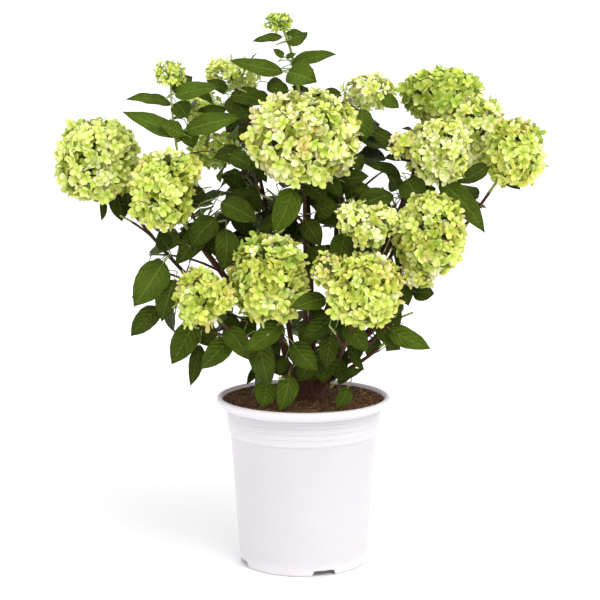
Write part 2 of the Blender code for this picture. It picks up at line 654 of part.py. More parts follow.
def side_path(path, shoot):
    """A side shoot's curve, from its cane's axis to its head or its leafy tip."""
    start, along = path.at(path.length * shoot.fork)
    tip = shoot.heads[0].centre if shoot.heads else Vector(shoot.tip)
    out = (tip - start).length
    control = start + (along + (tip - start).normalized()).normalized() * out * 0.5
    return Path(start, control, tip, *SIDE_SHOOT_RADIUS)


def grow_wood(mass, path):
    """The mass's main shoot, its side shoots and its flower heads."""
    plan = mass.plan
    begin = max(path.length * plan.share, STUB_LENGTH) + GAP
    mass.add(path.limb(begin, path.length, SHOOT_SIDES))
    mass.shoots.append((path, begin, path.length, plan.heads, plan.pairs, plan.roll, plan.leaf))
    for bloom in plan.heads:
        mass.add(flower_head(bloom, mass.rng))
    for bloom in plan.heads[1:]:
        fork, _ = path.at(path.length * LOBE_FORK)
        stalk = Path(fork, bloom.centre.lerp(plan.tip, LOBE_BEND), bloom.centre, *SIDE_SHOOT_RADIUS)
        mass.add(stalk.limb(0.0, stalk.length, TWIG_SIDES))
    for shoot in plan.side:
        branch = side_path(path, shoot)
        mass.add(branch.limb(0.0, branch.length, TWIG_SIDES))
        mass.shoots.append((branch, BRANCH_BARE, branch.length, shoot.heads, shoot.pairs, shoot.roll,
                            shoot.leaf))
        for bloom in shoot.heads:
            mass.add(flower_head(bloom, mass.rng))


def shades_a_head(points, heads):
    """Whether a leaf lies across the outer face of a flower head."""
    for bloom in heads:
        if bloom.wide < SHOWY_HEAD:
            continue
        views = [Vector((bloom.centre.x, bloom.centre.y, 0.0)).normalized()]
        if bloom.centre.y < SHOWN_DEPTH:
            views.append(SHOW_SIDE)
        for view in views:
            for point in points:
                offset = point - bloom.centre
                depth = offset.dot(view)
                aside = offset - view * depth
                spread = math.hypot(aside.x, aside.y, aside.z * bloom.wide / bloom.high)
                if depth > 0.0 and spread < bloom.wide * HEAD_SHADE:
                    return True
    return False


def inside_a_head(points, heads):
    """Whether a point is within a flower head."""
    for bloom in heads:
        for point in points:
            offset = point - bloom.centre
            if math.hypot(offset.x, offset.y, offset.z * bloom.wide / bloom.high) < bloom.wide * HEAD_SKIN:
                return True
    return False


def leaf_places(mass, shoot):
    """The seeded rule: opposite pairs down the shoot, each pair a quarter turn from the last."""
    path, begin, end, heads, pairs, roll, size = shoot
    top = end - (heads[0].high * HEAD_REACH + FIRST_NODE if heads else 0.002)
    for pair in range(pairs):
        spacing = INTERNODE * (TIP_INTERNODE if pair < 2 else 1.0)
        distance = top - spacing * pair + mass.rng.uniform(-0.003, 0.003)
        turn = math.radians(roll + 90.0 * pair + mass.rng.uniform(-12, 12))
        grown = size * PAIR_SIZES[min(pair, len(PAIR_SIZES) - 1)]
        if distance < begin + LAST_NODE:
            return
        anchor, along = path.at(distance)
        first = (along.cross(Vector((0.0, 1.0, 0.0))) + Vector((0.0001, 0.0, 0.0))).normalized()
        across = Matrix.Rotation(turn, 3, along) @ first
        for hand in (1.0, -1.0):
            yield anchor, along, across * hand, pair, LEAF_LENGTH * grown


def leaf_pose(rng, anchor, along, across, pair, length):
    """One way for a leaf to stand at its node: its stalk, its upper side, its length and its curl."""
    lift = math.radians(rng.uniform(10, 32))
    droop = rng.uniform(0.0, 0.30) + 0.08 * pair
    stalk = (across * math.cos(lift) + along * math.sin(lift) - UP * droop).normalized()
    outward = Vector((anchor.x, anchor.y, 0.0)).normalized()
    face = (along * 0.3 + UP * 0.5 + outward * 0.45 + SHOW_SIDE * 0.35
            + Vector((rng.uniform(-0.3, 0.3), rng.uniform(-0.3, 0.3), 0.0)))
    return stalk, face, length * rng.uniform(0.88, 1.14), math.radians(rng.uniform(18, 52))


def grow_leaves(masses, limbs):
    """Give every mass its leaves, skipping one that would touch another solid or hide a flower head.

    A leaf may try a few ways of standing at its node, each a little shorter than the last.
    """
    heads = [bloom for mass in masses for bloom in mass.plan.heads]
    heads += [bloom for mass in masses for shoot in mass.plan.side for bloom in shoot.heads]
    for mass in masses:
        others = [tree for other in masses if other is not mass for tree in other.trees]
        others += limbs
        own_leaves = []
        for shoot in mass.shoots:
            for anchor, along, across, pair, length in leaf_places(mass, shoot):
                for attempt in range(LEAF_TRIES):
                    pose = leaf_pose(mass.rng, anchor, along, across, pair,
                                     length * LEAF_SHRINK ** attempt)
                    blade = leaf_blade(anchor, *pose)
                    outline = blade[0][STALK_POINTS:]
                    if shades_a_head(outline, heads) or inside_a_head(outline, heads):
                        continue
                    roomy = leaf_blade(anchor, *pose, LEAF_CLEAR)
                    whole, blade_only = tree_of(roomy), tree_of((roomy[0], roomy[1][STALK_FACES:]))
                    if any(touching(whole, tree) for tree in others):
                        continue
                    if any(touching(blade_only, tree) for tree in own_leaves):
                        continue
                    own_leaves.append(tree_of((blade[0], blade[1][STALK_FACES:])))
                    mass.add(blade)
                    break


def fuse(name, solids, material):
    """One Boolean union of a mass's solids, with sealed hollows filled and loose scraps dropped."""
    base = mesh_object(name, *solids[0], [material])
    group = bpy.data.collections.new(name + "_pieces")
    for solid in solids[1:]:
        piece = mesh_object(name + "_piece", *solid)
        bpy.context.collection.objects.unlink(piece)
        group.objects.link(piece)
    bpy.context.scene.collection.children.link(group)
    modifier = base.modifiers.new("union", "BOOLEAN")
    modifier.operation = "UNION"
    modifier.operand_type = "COLLECTION"
    modifier.solver = "EXACT"
    modifier.use_self = False
    modifier.collection = group
    graph = bpy.context.evaluated_depsgraph_get()
    fused = bpy.data.meshes.new_from_object(base.evaluated_get(graph))
    base.modifiers.clear()
    base.data = fused
    for piece in list(group.objects):
        bpy.data.objects.remove(piece, do_unlink=True)
    bpy.data.collections.remove(group)
    keep_outer_body(base.data)
    fused.materials.clear()
    fused.materials.append(material)
    return base


def keep_outer_body(mesh):
    """Merge doubled points, then delete every island of faces except the largest one."""
    bm = bmesh.new()
    bm.from_mesh(mesh)
    bmesh.ops.remove_doubles(bm, verts=bm.verts, dist=MERGE)
    bmesh.ops.dissolve_degenerate(bm, edges=bm.edges, dist=MERGE)
    bmesh.ops.triangulate(bm, faces=bm.faces)
    unseen = set(bm.faces)
    islands = []
    while unseen:
        stack = [unseen.pop()]
        island = []
        while stack:
            face = stack.pop()
            island.append(face)
            for edge in face.edges:
                for near in edge.link_faces:
                    if near in unseen:
                        unseen.discard(near)
                        stack.append(near)
        islands.append(island)
    islands.sort(key=len)
    for island in islands[:-1]:
        bmesh.ops.delete(bm, geom=island, context="FACES")
    bm.to_mesh(mesh)
    bm.free()


# ------------------------------------------------------------------ the woody stool
def stool_flare():
    """The stool's foot: it widens into lobes over the roots and is cut flat at the ground."""
    verts, faces = [], []
    for height, radius, lobe in STOOL_RINGS:
        for k in range(STOOL_SIDES):
            angle = math.tau * k / STOOL_SIDES
            swell = radius * (1.0 + lobe * math.cos(STOOL_LOBES * angle))
            verts.append(Vector((STOOL_CENTRE.x + swell * STOOL_STRETCH * math.cos(angle),
                                 STOOL_CENTRE.y + swell * math.sin(angle),
                                 SOIL_CROWN + GAP + height)))
    rings, sides = len(STOOL_RINGS), STOOL_SIDES
    for ring in range(rings - 1):
        for k in range(sides):
            a, b = ring * sides + k, ring * sides + (k + 1) % sides
            faces.append((a, b, b + sides, a + sides))
    faces.append(tuple(range(sides - 1, -1, -1)))
    faces.append(tuple(range((rings - 1) * sides, rings * sides)))
    return verts, faces


def build_stool(plans, material):
    """Fuse the stool's flare, its legs and the first stub of every cane, and return those solids."""
    solids = [stool_flare()]
    for name in LEGS:
        leg = leg_path(name)
        solids.append(leg.limb(0.0, leg.length, LEG_SIDES, LEG_STEP))
    for plan in plans:
        path = cane_path(plan)
        solids.append(path.limb(0.0, STUB_LENGTH, BOUGH_SIDES, STUB_LENGTH))
    fuse("stem_base", solids, material)
    return solids


# ------------------------------------------------------------------ the whole plant
def main():
    """Build the pot, its soil, the stool, the boughs and the foliage masses, in that order."""
    clear_scene()
    build_pot()
    soil = build_soil()
    bark = finish("red_brown_bark", (0.16, 0.075, 0.045), 0.75)
    green = finish("leaf_green", (0.045, 0.125, 0.028), 0.5)
    plans = CANES + SKIRTS
    ground = ([vert.co.copy() for vert in soil.data.vertices],
              [tuple(polygon.vertices) for polygon in soil.data.polygons])
    limbs = [tree_of(solid) for solid in build_stool(plans, bark)]
    limbs += [tree_of(ground), tree_of(rim_surface())]

    masses = []
    for plan in plans:
        path = cane_path(plan)
        bough_end = path.length * plan.share
        if bough_end > STUB_LENGTH:
            solid = path.limb(STUB_LENGTH + GAP, bough_end, BOUGH_SIDES)
            mesh_object("bough_" + plan.name, *solid, [bark])
            limbs.append(tree_of(solid))
        mass = Mass(plan)
        grow_wood(mass, path)
        masses.append(mass)
    grow_leaves(masses, limbs)
    for mass in masses:
        fuse("foliage_" + mass.plan.name, mass.solids, green)


main()
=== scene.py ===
"""Panicle hydrangea in flower in a white nursery pot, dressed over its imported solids.

Metres, +Z up.  The origin is the centre of the pot's flat underside and -Y is the show side.  The
shrub grows here by the same seeded rule as its solids: canes rise from a woody stool, each ends in
leafy shoots with opposite pairs of leaves, and the flower heads stand at their tips.  The rule is then
carried on to finer twigs and smaller leaves, and every flower head opens into its single florets.
"""

import logging
import math
import random
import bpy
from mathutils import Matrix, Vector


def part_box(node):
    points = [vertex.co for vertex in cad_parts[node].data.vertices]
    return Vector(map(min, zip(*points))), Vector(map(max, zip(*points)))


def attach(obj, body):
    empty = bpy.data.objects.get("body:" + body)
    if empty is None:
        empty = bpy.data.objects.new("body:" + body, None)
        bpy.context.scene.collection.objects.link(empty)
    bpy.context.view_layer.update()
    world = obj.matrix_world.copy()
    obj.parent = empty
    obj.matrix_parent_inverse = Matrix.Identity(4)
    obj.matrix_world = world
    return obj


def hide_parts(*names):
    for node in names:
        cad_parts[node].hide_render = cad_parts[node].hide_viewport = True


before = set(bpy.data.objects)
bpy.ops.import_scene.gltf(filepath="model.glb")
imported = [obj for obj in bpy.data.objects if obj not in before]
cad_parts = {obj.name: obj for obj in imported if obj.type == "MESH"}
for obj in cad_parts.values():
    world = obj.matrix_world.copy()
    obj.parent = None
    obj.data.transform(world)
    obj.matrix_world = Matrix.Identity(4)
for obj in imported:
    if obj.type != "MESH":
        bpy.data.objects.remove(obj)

import zlib
from collections.abc import Iterator
from dataclasses import dataclass, field, replace
from enum import Enum, auto

import bpy
import numpy as np
from mathutils import Matrix, Vector, noise
from mathutils.bvhtree import BVHTree

LOG = logging.getLogger("hydrangea")
UP = Vector((0.0, 0.0, 1.0))
SHOW_SIDE = Vector((0.0, -1.0, 0.13)).normalized()
GAP = 0.0003
BODY = "root"

Colour = tuple[float, float, float]
Socket = bpy.types.NodeSocket
Solid = tuple[list[Vector], list[list[int]]]
Pose = tuple[Vector, Vector, float, float]


def numbers(seed: str) -> np.random.Generator:
    """Random numbers for one named piece, the same on every run."""
    return np.random.default_rng(zlib.crc32(seed.encode()))


def nodes_of(kind: str) -> list[str]:
    """The solids whose names begin in one way."""
    return [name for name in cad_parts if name.startswith(kind)]


# ------------------------------------------------------------------ finishes
class Wiring:
    """A material's nodes, with short ways to add more and wire them."""

    def __init__(self, tree: bpy.types.NodeTree) -> None:
        """Take a new material's nodes."""
        self.tree = tree
        self.shader = tree.nodes["Principled BSDF"]

    def fill(self, node: bpy.types.Node, values: dict[str | int, object]) -> None:
        """Wire some of a node's inputs and set others to constants.

        Args:
            node: the node.
            values: a socket or a constant for each of these inputs.
        """
        for name, value in values.items():
            if isinstance(value, Socket):
                self.tree.links.new(value, node.inputs[name])
            else:
                node.inputs[name].default_value = value

    def add(self, kind: str, output: str | int, values: dict[str | int, object] | None = None,
            **options: str) -> Socket:
        """Add a node.

        Args:
            kind: its type.
            output: the output that is wanted.
            values: a socket or a constant for each input.
            options: its options.

        Returns:
            That output.
        """
        node = self.tree.nodes.new("ShaderNode" + kind)
        for name, value in options.items():
            setattr(node, name, value)
        self.fill(node, values or {})
        return node.outputs[output]

    def math(self, kind: str, value: Socket, other: float | Socket = 0.0) -> Socket:
        """The result of one sum on a value and another."""
        return self.add("Math", 0, {0: value, 1: other}, operation=kind)

    def ramp(self, value: Socket, *stops: tuple[float, Colour]) -> Socket:
        """Fade between two colours along a value.

        Args:
            value: the value.
            stops: where each colour stands, and the colour.

        Returns:
            The colour.
        """
        faded = self.add("ValToRGB", "Color", {"Fac": value})
        for element, (place, colour) in zip(faded.node.color_ramp.elements, stops):
            element.position, element.color = place, (*colour, 1.0)
        return faded

    def bump(self, height: Socket, strength: float, distance: float) -> None:
        """Turn a height into a bump on the shader.

        Args:
            height: the height.
            strength: how strong the bump is.
            distance: how high it stands.
        """
        values = {"Height": height, "Strength": strength, "Distance": distance}
        self.fill(self.shader, {"Normal": self.add("Bump", "Normal", values)})


@dataclass(frozen=True)
class Finish:
    """A plain finish: one colour, cloudy with a darker one, and a fine grain.

    Colours are linear red, green and blue.
    """

    name: str
    colour: Colour
    shade: Colour
    roughness: float = 0.64
    cloud: float = 60.0
    grain: float = 900.0
    relief: float = 0.15
    depth: float = 0.0004
    gloss: tuple[tuple[str, float | Colour], ...] = ()
    cloud_edges: tuple[float, float] = (0.34, 0.62)

    def material(self) -> bpy.types.Material:
        """Make the material, or find it if it is already made."""
        made = bpy.data.materials.get(self.name)
        if not made:
            made = bpy.data.materials.new(self.name)
            made.use_nodes = True
            made.diffuse_color = (*self.colour, 1.0)
            self.dress(Wiring(made.node_tree))
        return made

    def place(self, wiring: Wiring) -> Socket:
        """The coordinates that the clouds and the grain follow."""
        return wiring.add("TexCoord", "Object")

    def dress(self, wiring: Wiring) -> None:
        """Wire the clouds and the grain."""
        place = self.place(wiring)
        self.tint(wiring, place)
        grain = wiring.add("TexNoise", "Fac", {"Vector": place, "Scale": self.grain, "Detail": 4.0})
        wiring.bump(grain, self.relief, self.depth)

    def tint(self, wiring: Wiring, place: Socket) -> Socket:
        """Give the shader its gloss, and colour it with soft clouds of the shade.

        Args:
            wiring: the material's nodes.
            place: the coordinates that the clouds follow.

        Returns:
            The colour.
        """
        low, high = self.cloud_edges
        clouds = wiring.add("TexNoise", "Fac", {"Vector": place, "Scale": self.cloud, "Detail": 3.0})
        colour = wiring.ramp(clouds, (low, self.shade), (high, self.colour))
        wiring.fill(wiring.shader, {"Roughness": self.roughness, "Base Color": colour, **dict(self.gloss)})
        return colour


@dataclass(frozen=True)
class PetalFinish(Finish):
    """Thin, faintly translucent sepals, greener and darker at the foot than at the tip: partly their own
    green, partly painted shade.
    """

    gloss: tuple[tuple[str, float | Colour], ...] = (
        ("Specular IOR Level", 0.2), ("Subsurface Weight", 0.12), ("Subsurface Radius", (1.0, 1.0, 0.4)),
        ("Subsurface Scale", 0.003))
    # This green multiplies the foot of each sepal: partly the sepal's own greener base, partly painted shade
    # where the sepals meet and overlap.
    throat_and_shade: Colour = (0.60, 0.78, 0.22)
    throat_and_shade_ends: tuple[float, float] = (0.10, 0.66)

    def dress(self, wiring: Wiring) -> None:
        """Wire the finish, and make it greener and darker towards the foot of each sepal, partly painted
        shade.
        """
        super().dress(wiring)
        foot, tip = self.throat_and_shade_ends
        along = wiring.add("SeparateXYZ", "X", {"Vector": wiring.add("UVMap", "UV")})
        fade = wiring.ramp(along, (foot, self.throat_and_shade), (tip, (1.0, 1.0, 1.0)))
        colour = wiring.shader.inputs["Base Color"].links[0].from_socket
        mixed = wiring.add("Mix", 2, {0: 1.0, 6: colour, 7: fade}, data_type="RGBA", blend_type="MULTIPLY")
        wiring.fill(wiring.shader, {"Base Color": mixed})


@dataclass(frozen=True)
class LeafFinish(Finish):
    """A leaf's green, with a paler midrib, side veins and fine net that follow the blade."""

    cloud: float = 46.0
    relief: float = 0.9
    depth: float = 0.0016
    gloss: tuple[tuple[str, float | Colour], ...] = (("Specular IOR Level", 0.09),)
    vein: Colour = (0.12, 0.22, 0.05)
    veins: float = 6.5
    vein_slope: tuple[float, float] = (0.20, 0.14)
    vein_widths: tuple[float, float, float] = (0.045, 0.032, 0.07)
    vein_shares: tuple[float, float] = (0.38, 0.16)
    net: float = 17.0
    puff: float = 2.2

    def dress(self, wiring: Wiring) -> None:
        """Wire the clouds of green, the veins' colour and their furrows.

        Args:
            wiring: the material's nodes.
        """
        sums = wiring.math
        green = self.tint(wiring, self.place(wiring))
        blade = wiring.add("UVMap", "UV")
        length = wiring.add("SeparateXYZ", "X", {"Vector": blade})
        across = sums("ABSOLUTE", length.node.outputs["Y"])
        slope, bend = self.vein_slope
        lean = sums("MULTIPLY", across, sums("ADD", sums("MULTIPLY", across, bend), slope))
        wave = sums("PINGPONG", sums("MULTIPLY", sums("SUBTRACT", length, lean), self.veins), 0.5)
        cells = wiring.add("TexVoronoi", "Distance", {"Vector": blade, "Scale": self.net},
                           feature="DISTANCE_TO_EDGE")
        rib, side, net = (sums("LESS_THAN", height, width)
                          for height, width in zip((across, wave, cells), self.vein_widths))
        fine = sums("MAXIMUM", *(sums("MULTIPLY", line, share)
                                 for line, share in zip((side, net), self.vein_shares)))
        mixed = wiring.add("Mix", 2, {0: sums("MAXIMUM", fine, rib), 6: green, 7: (*self.vein, 1.0)},
                           data_type="RGBA")
        wiring.fill(wiring.shader, {"Base Color": mixed})
        wiring.bump(sums("ADD", sums("MULTIPLY", wave, self.puff), cells), self.relief, self.depth)


@dataclass(frozen=True)
class BarkFinish(Finish):
    """Bark with lengthwise streaks."""

    gloss: tuple[tuple[str, float | Colour], ...] = (("Specular IOR Level", 0.25),)
    stretch: float = 0.16

    def place(self, wiring: Wiring) -> Socket:
        """Coordinates that are drawn out along the upright canes."""
        values = {"Vector": super().place(wiring), "Scale": (1.0, 1.0, self.stretch)}
        return wiring.add("Mapping", "Vector", values)


THIN_WALL = (("Subsurface Weight", 0.55), ("Subsurface Radius", (1.0, 0.95, 1.0)),
             ("Subsurface Scale", 0.012))
PLASTIC = Finish("pot_plastic", (0.76, 0.718, 0.748), (0.738, 0.69, 0.724), 0.38, 9.0, 260.0, 0.05,
                 gloss=THIN_WALL)
FLOOR = Finish("pale_floor", (0.97, 0.97, 0.97), (0.96, 0.96, 0.96), 0.85, 3.0, 30.0, 0.0)
SOIL = Finish("crumbly_soil", (0.225, 0.098, 0.028), (0.044, 0.016, 0.006), 0.96, 260.0, 1400.0, 1.0, 0.0014)
CRUMBS = (
    Finish("soil_crumb_dark", (0.085, 0.04, 0.018), (0.035, 0.016, 0.008), 0.96, 300.0, 1600.0, 0.7),
    Finish("soil_crumb_brown", (0.28, 0.122, 0.036), (0.135, 0.058, 0.019), 0.95, 300.0, 1600.0, 0.7),
    Finish("soil_fleck_tan", (0.78, 0.5, 0.24), (0.56, 0.34, 0.15), 0.92, 300.0, 1600.0, 0.5),
)
OLD_BARK = BarkFinish("old_bark", (0.105, 0.044, 0.024), (0.036, 0.014, 0.008), 0.8, 420.0, 1300.0, 0.7)
YOUNG_BARK = (
    BarkFinish("cane_brown", (0.07, 0.027, 0.015), (0.034, 0.012, 0.007), 0.66, 380.0, 1300.0, 0.35),
    BarkFinish("cane_russet", (0.095, 0.046, 0.018), (0.052, 0.022, 0.01), 0.62, 380.0, 1300.0, 0.3),
    BarkFinish("shoot_green", (0.33, 0.4, 0.13), (0.25, 0.31, 0.09), 0.56, 380.0, 1300.0, 0.2),
)
LEAF_GREENS = (
    LeafFinish("leaf_deep", (0.04, 0.061, 0.005), (0.022, 0.034, 0.003), 0.46, vein=(0.072, 0.102, 0.014)),
    LeafFinish("leaf_dull", (0.06, 0.091, 0.007), (0.036, 0.056, 0.005), 0.44, vein=(0.104, 0.146, 0.02)),
    LeafFinish("leaf_mid", (0.08, 0.124, 0.009), (0.05, 0.081, 0.006), 0.44, vein=(0.134, 0.19, 0.025)),
    LeafFinish("leaf_fresh", (0.101, 0.163, 0.011), (0.068, 0.113, 0.008), 0.43, vein=(0.163, 0.233, 0.03)),
    LeafFinish("leaf_young", (0.135, 0.215, 0.016), (0.092, 0.156, 0.011), 0.43, vein=(0.203, 0.29, 0.04)),
)
PETALS = (
    PetalFinish("petal_pale_lime", (0.88, 0.9, 0.35), (0.83, 0.86, 0.27)),
    PetalFinish("petal_lime", (0.79, 0.84, 0.24), (0.71, 0.78, 0.18)),
    PetalFinish("petal_yellow_lime", (0.815, 0.79, 0.215), (0.745, 0.725, 0.155)),
    PetalFinish("petal_cream", (0.95, 0.93, 0.56), (0.9, 0.89, 0.45)),
    PetalFinish("petal_green", (0.59, 0.69, 0.165), (0.49, 0.6, 0.12)),
    PetalFinish("petal_buff", (0.835, 0.685, 0.29), (0.765, 0.645, 0.225)),
    PetalFinish("petal_blush", (0.93, 0.79, 0.52), (0.89, 0.78, 0.42)),
    # petal_shaded is painted shade: a darker copy of the lime petals, for most florets of a head's inner coat
    # and, by its share in some looks, to darken whole heads.
    PetalFinish("petal_shaded", (0.59, 0.63, 0.115), (0.49, 0.54, 0.085), 0.68),
)
BUD_GREEN = PetalFinish("bud_green", (0.62, 0.7, 0.16), (0.5, 0.6, 0.11))
STALK_GREEN = Finish("flower_stalk", (0.32, 0.4, 0.11), (0.23, 0.31, 0.07))
STALK_RED = Finish("leaf_stalk", (0.2, 0.17, 0.05), (0.14, 0.08, 0.034))
# The heart's dark green is painted shade: a closed ball deep in each full head stands for the shadowed inside
# of the head and keeps it from being seen through.
HEART_PAINTED_SHADE = Finish("flower_heart", (0.13, 0.19, 0.022), (0.065, 0.11, 0.012), 0.85, 240.0)


class Habit(Enum):
    """Whether a flower head is full, loose or still in bud."""

    FULL = auto()
    LOOSE = auto()
    BUDS = auto()


class Bloom(Enum):
    """How a flower head looks: hundredths of the petal finishes, in their order, and its habit."""

    # The last share of each look is the petal_shaded finish, painted shade that darkens the whole head.
    PALE = ((56, 14, 2, 26, 1, 0, 1, 0), Habit.FULL)
    LIME = ((60, 18, 4, 16, 1, 0, 1, 0), Habit.FULL)
    LIME_WARM = ((28, 27, 18, 7, 4, 3, 1, 12), Habit.FULL)
    LIME_BLUSH = ((32, 26, 18, 8, 3, 5, 3, 5), Habit.FULL)
    BLUSHING = ((40, 12, 9, 20, 1, 4, 13, 1), Habit.FULL)
    CREAMY = ((34, 4, 6, 54, 0, 1, 1, 0), Habit.FULL)
    YELLOW = ((24, 19, 29, 8, 3, 5, 1, 11), Habit.FULL)
    YELLOW_BUFF = ((12, 15, 31, 4, 3, 13, 3, 19), Habit.FULL)
    BUFF = ((14, 10, 20, 14, 4, 20, 8, 10), Habit.LOOSE)
    GREEN = ((14, 33, 6, 3, 34, 1, 0, 9), Habit.FULL)
    LOOSE = ((30, 12, 18, 34, 1, 2, 0, 3), Habit.LOOSE)
    LACY = ((14, 30, 22, 8, 20, 2, 0, 4), Habit.LOOSE)
    BUDDING = ((24, 38, 20, 8, 10, 0, 0, 0), Habit.BUDS)

    @property
    def shares(self) -> np.ndarray:
        """The share of each petal finish."""
        return np.array(self.value[0]) / 100.0

    @property
    def habit(self) -> Habit:
        """Whether the head is full, loose or still in bud."""
        return self.value[1]


# ------------------------------------------------------------------ the plan of the shrub
def mm(*place: float) -> Vector:
    """A place given in millimetres."""
    return Vector([value / 1000.0 for value in place])


@dataclass(frozen=True)
class Head:
    """A flower head: its centre, half width, half height, its solid's rings and spokes, and its look."""

    centre: Vector
    wide: float
    high: float
    rings: int
    spokes: int
    bloom: Bloom


@dataclass(frozen=True)
class Side:
    """A side shoot: where it forks from its cane (0 to 1), its heads or leafy tip, and its leaves."""

    fork: float
    heads: list[Head] = field(default_factory=list)
    tip: Vector | None = None
    pairs: int = 2
    roll: float = 0.0
    leaf: float = 0.85


@dataclass(frozen=True)
class Cane:
    """A cane: its name, which also seeds its leaves, its leg of the stool, its heads and side shoots.

    Then its tip, if it isn't in its first head; how far up the leg it is seated and how far it sets out
    sideways; the share of it that is bare bough; and the pairs, first turn and size of its leaves.
    """

    name: str
    leg: str
    heads: list[Head] = field(default_factory=list)
    sides: list[Side] = field(default_factory=list)
    tip: Vector | None = None
    seat: float = 1.0
    spread: float = 0.6
    share: float = 0.30
    pairs: int = 4
    roll: float = 0.0
    leaf: float = 1.0


@dataclass(frozen=True)
class ShownLeaf:
    """A listed leaf: its cane, foot, tip and breadth, how far its face turns, and its youth and light, a
    number that sets its green, partly painted light and shade.
    """

    mass: str
    foot: Vector
    tip: Vector
    breadth: float
    aside: float
    above: float
    youth_and_light: float


LEGS = {"left_front": mm(-22, -16, 268), "left_back": mm(-14, 24, 276), "centre": mm(3, -8, 288),
        "back": mm(12, 36, 282), "right_back": mm(40, 26, 274), "right_front": mm(42, -18, 268)}
RIM_RINGS = ((0.0792, 0.0), (0.0820, 0.0012), (0.0832, 0.0040), (0.0958, 0.1725), (0.0980, 0.1755),
             (0.0995, 0.1879), (0.1003, 0.1895), (0.1018, 0.2050), (0.1125, 0.2135), (0.1140, 0.2160),
             (0.1140, 0.2190), (0.1118, 0.2220), (0.1080, 0.2220), (0.1070, 0.2210), (0.1055, 0.2170),
             (0.1008, 0.2085), (0.0938, 0.1745), (0.0816, 0.0120))

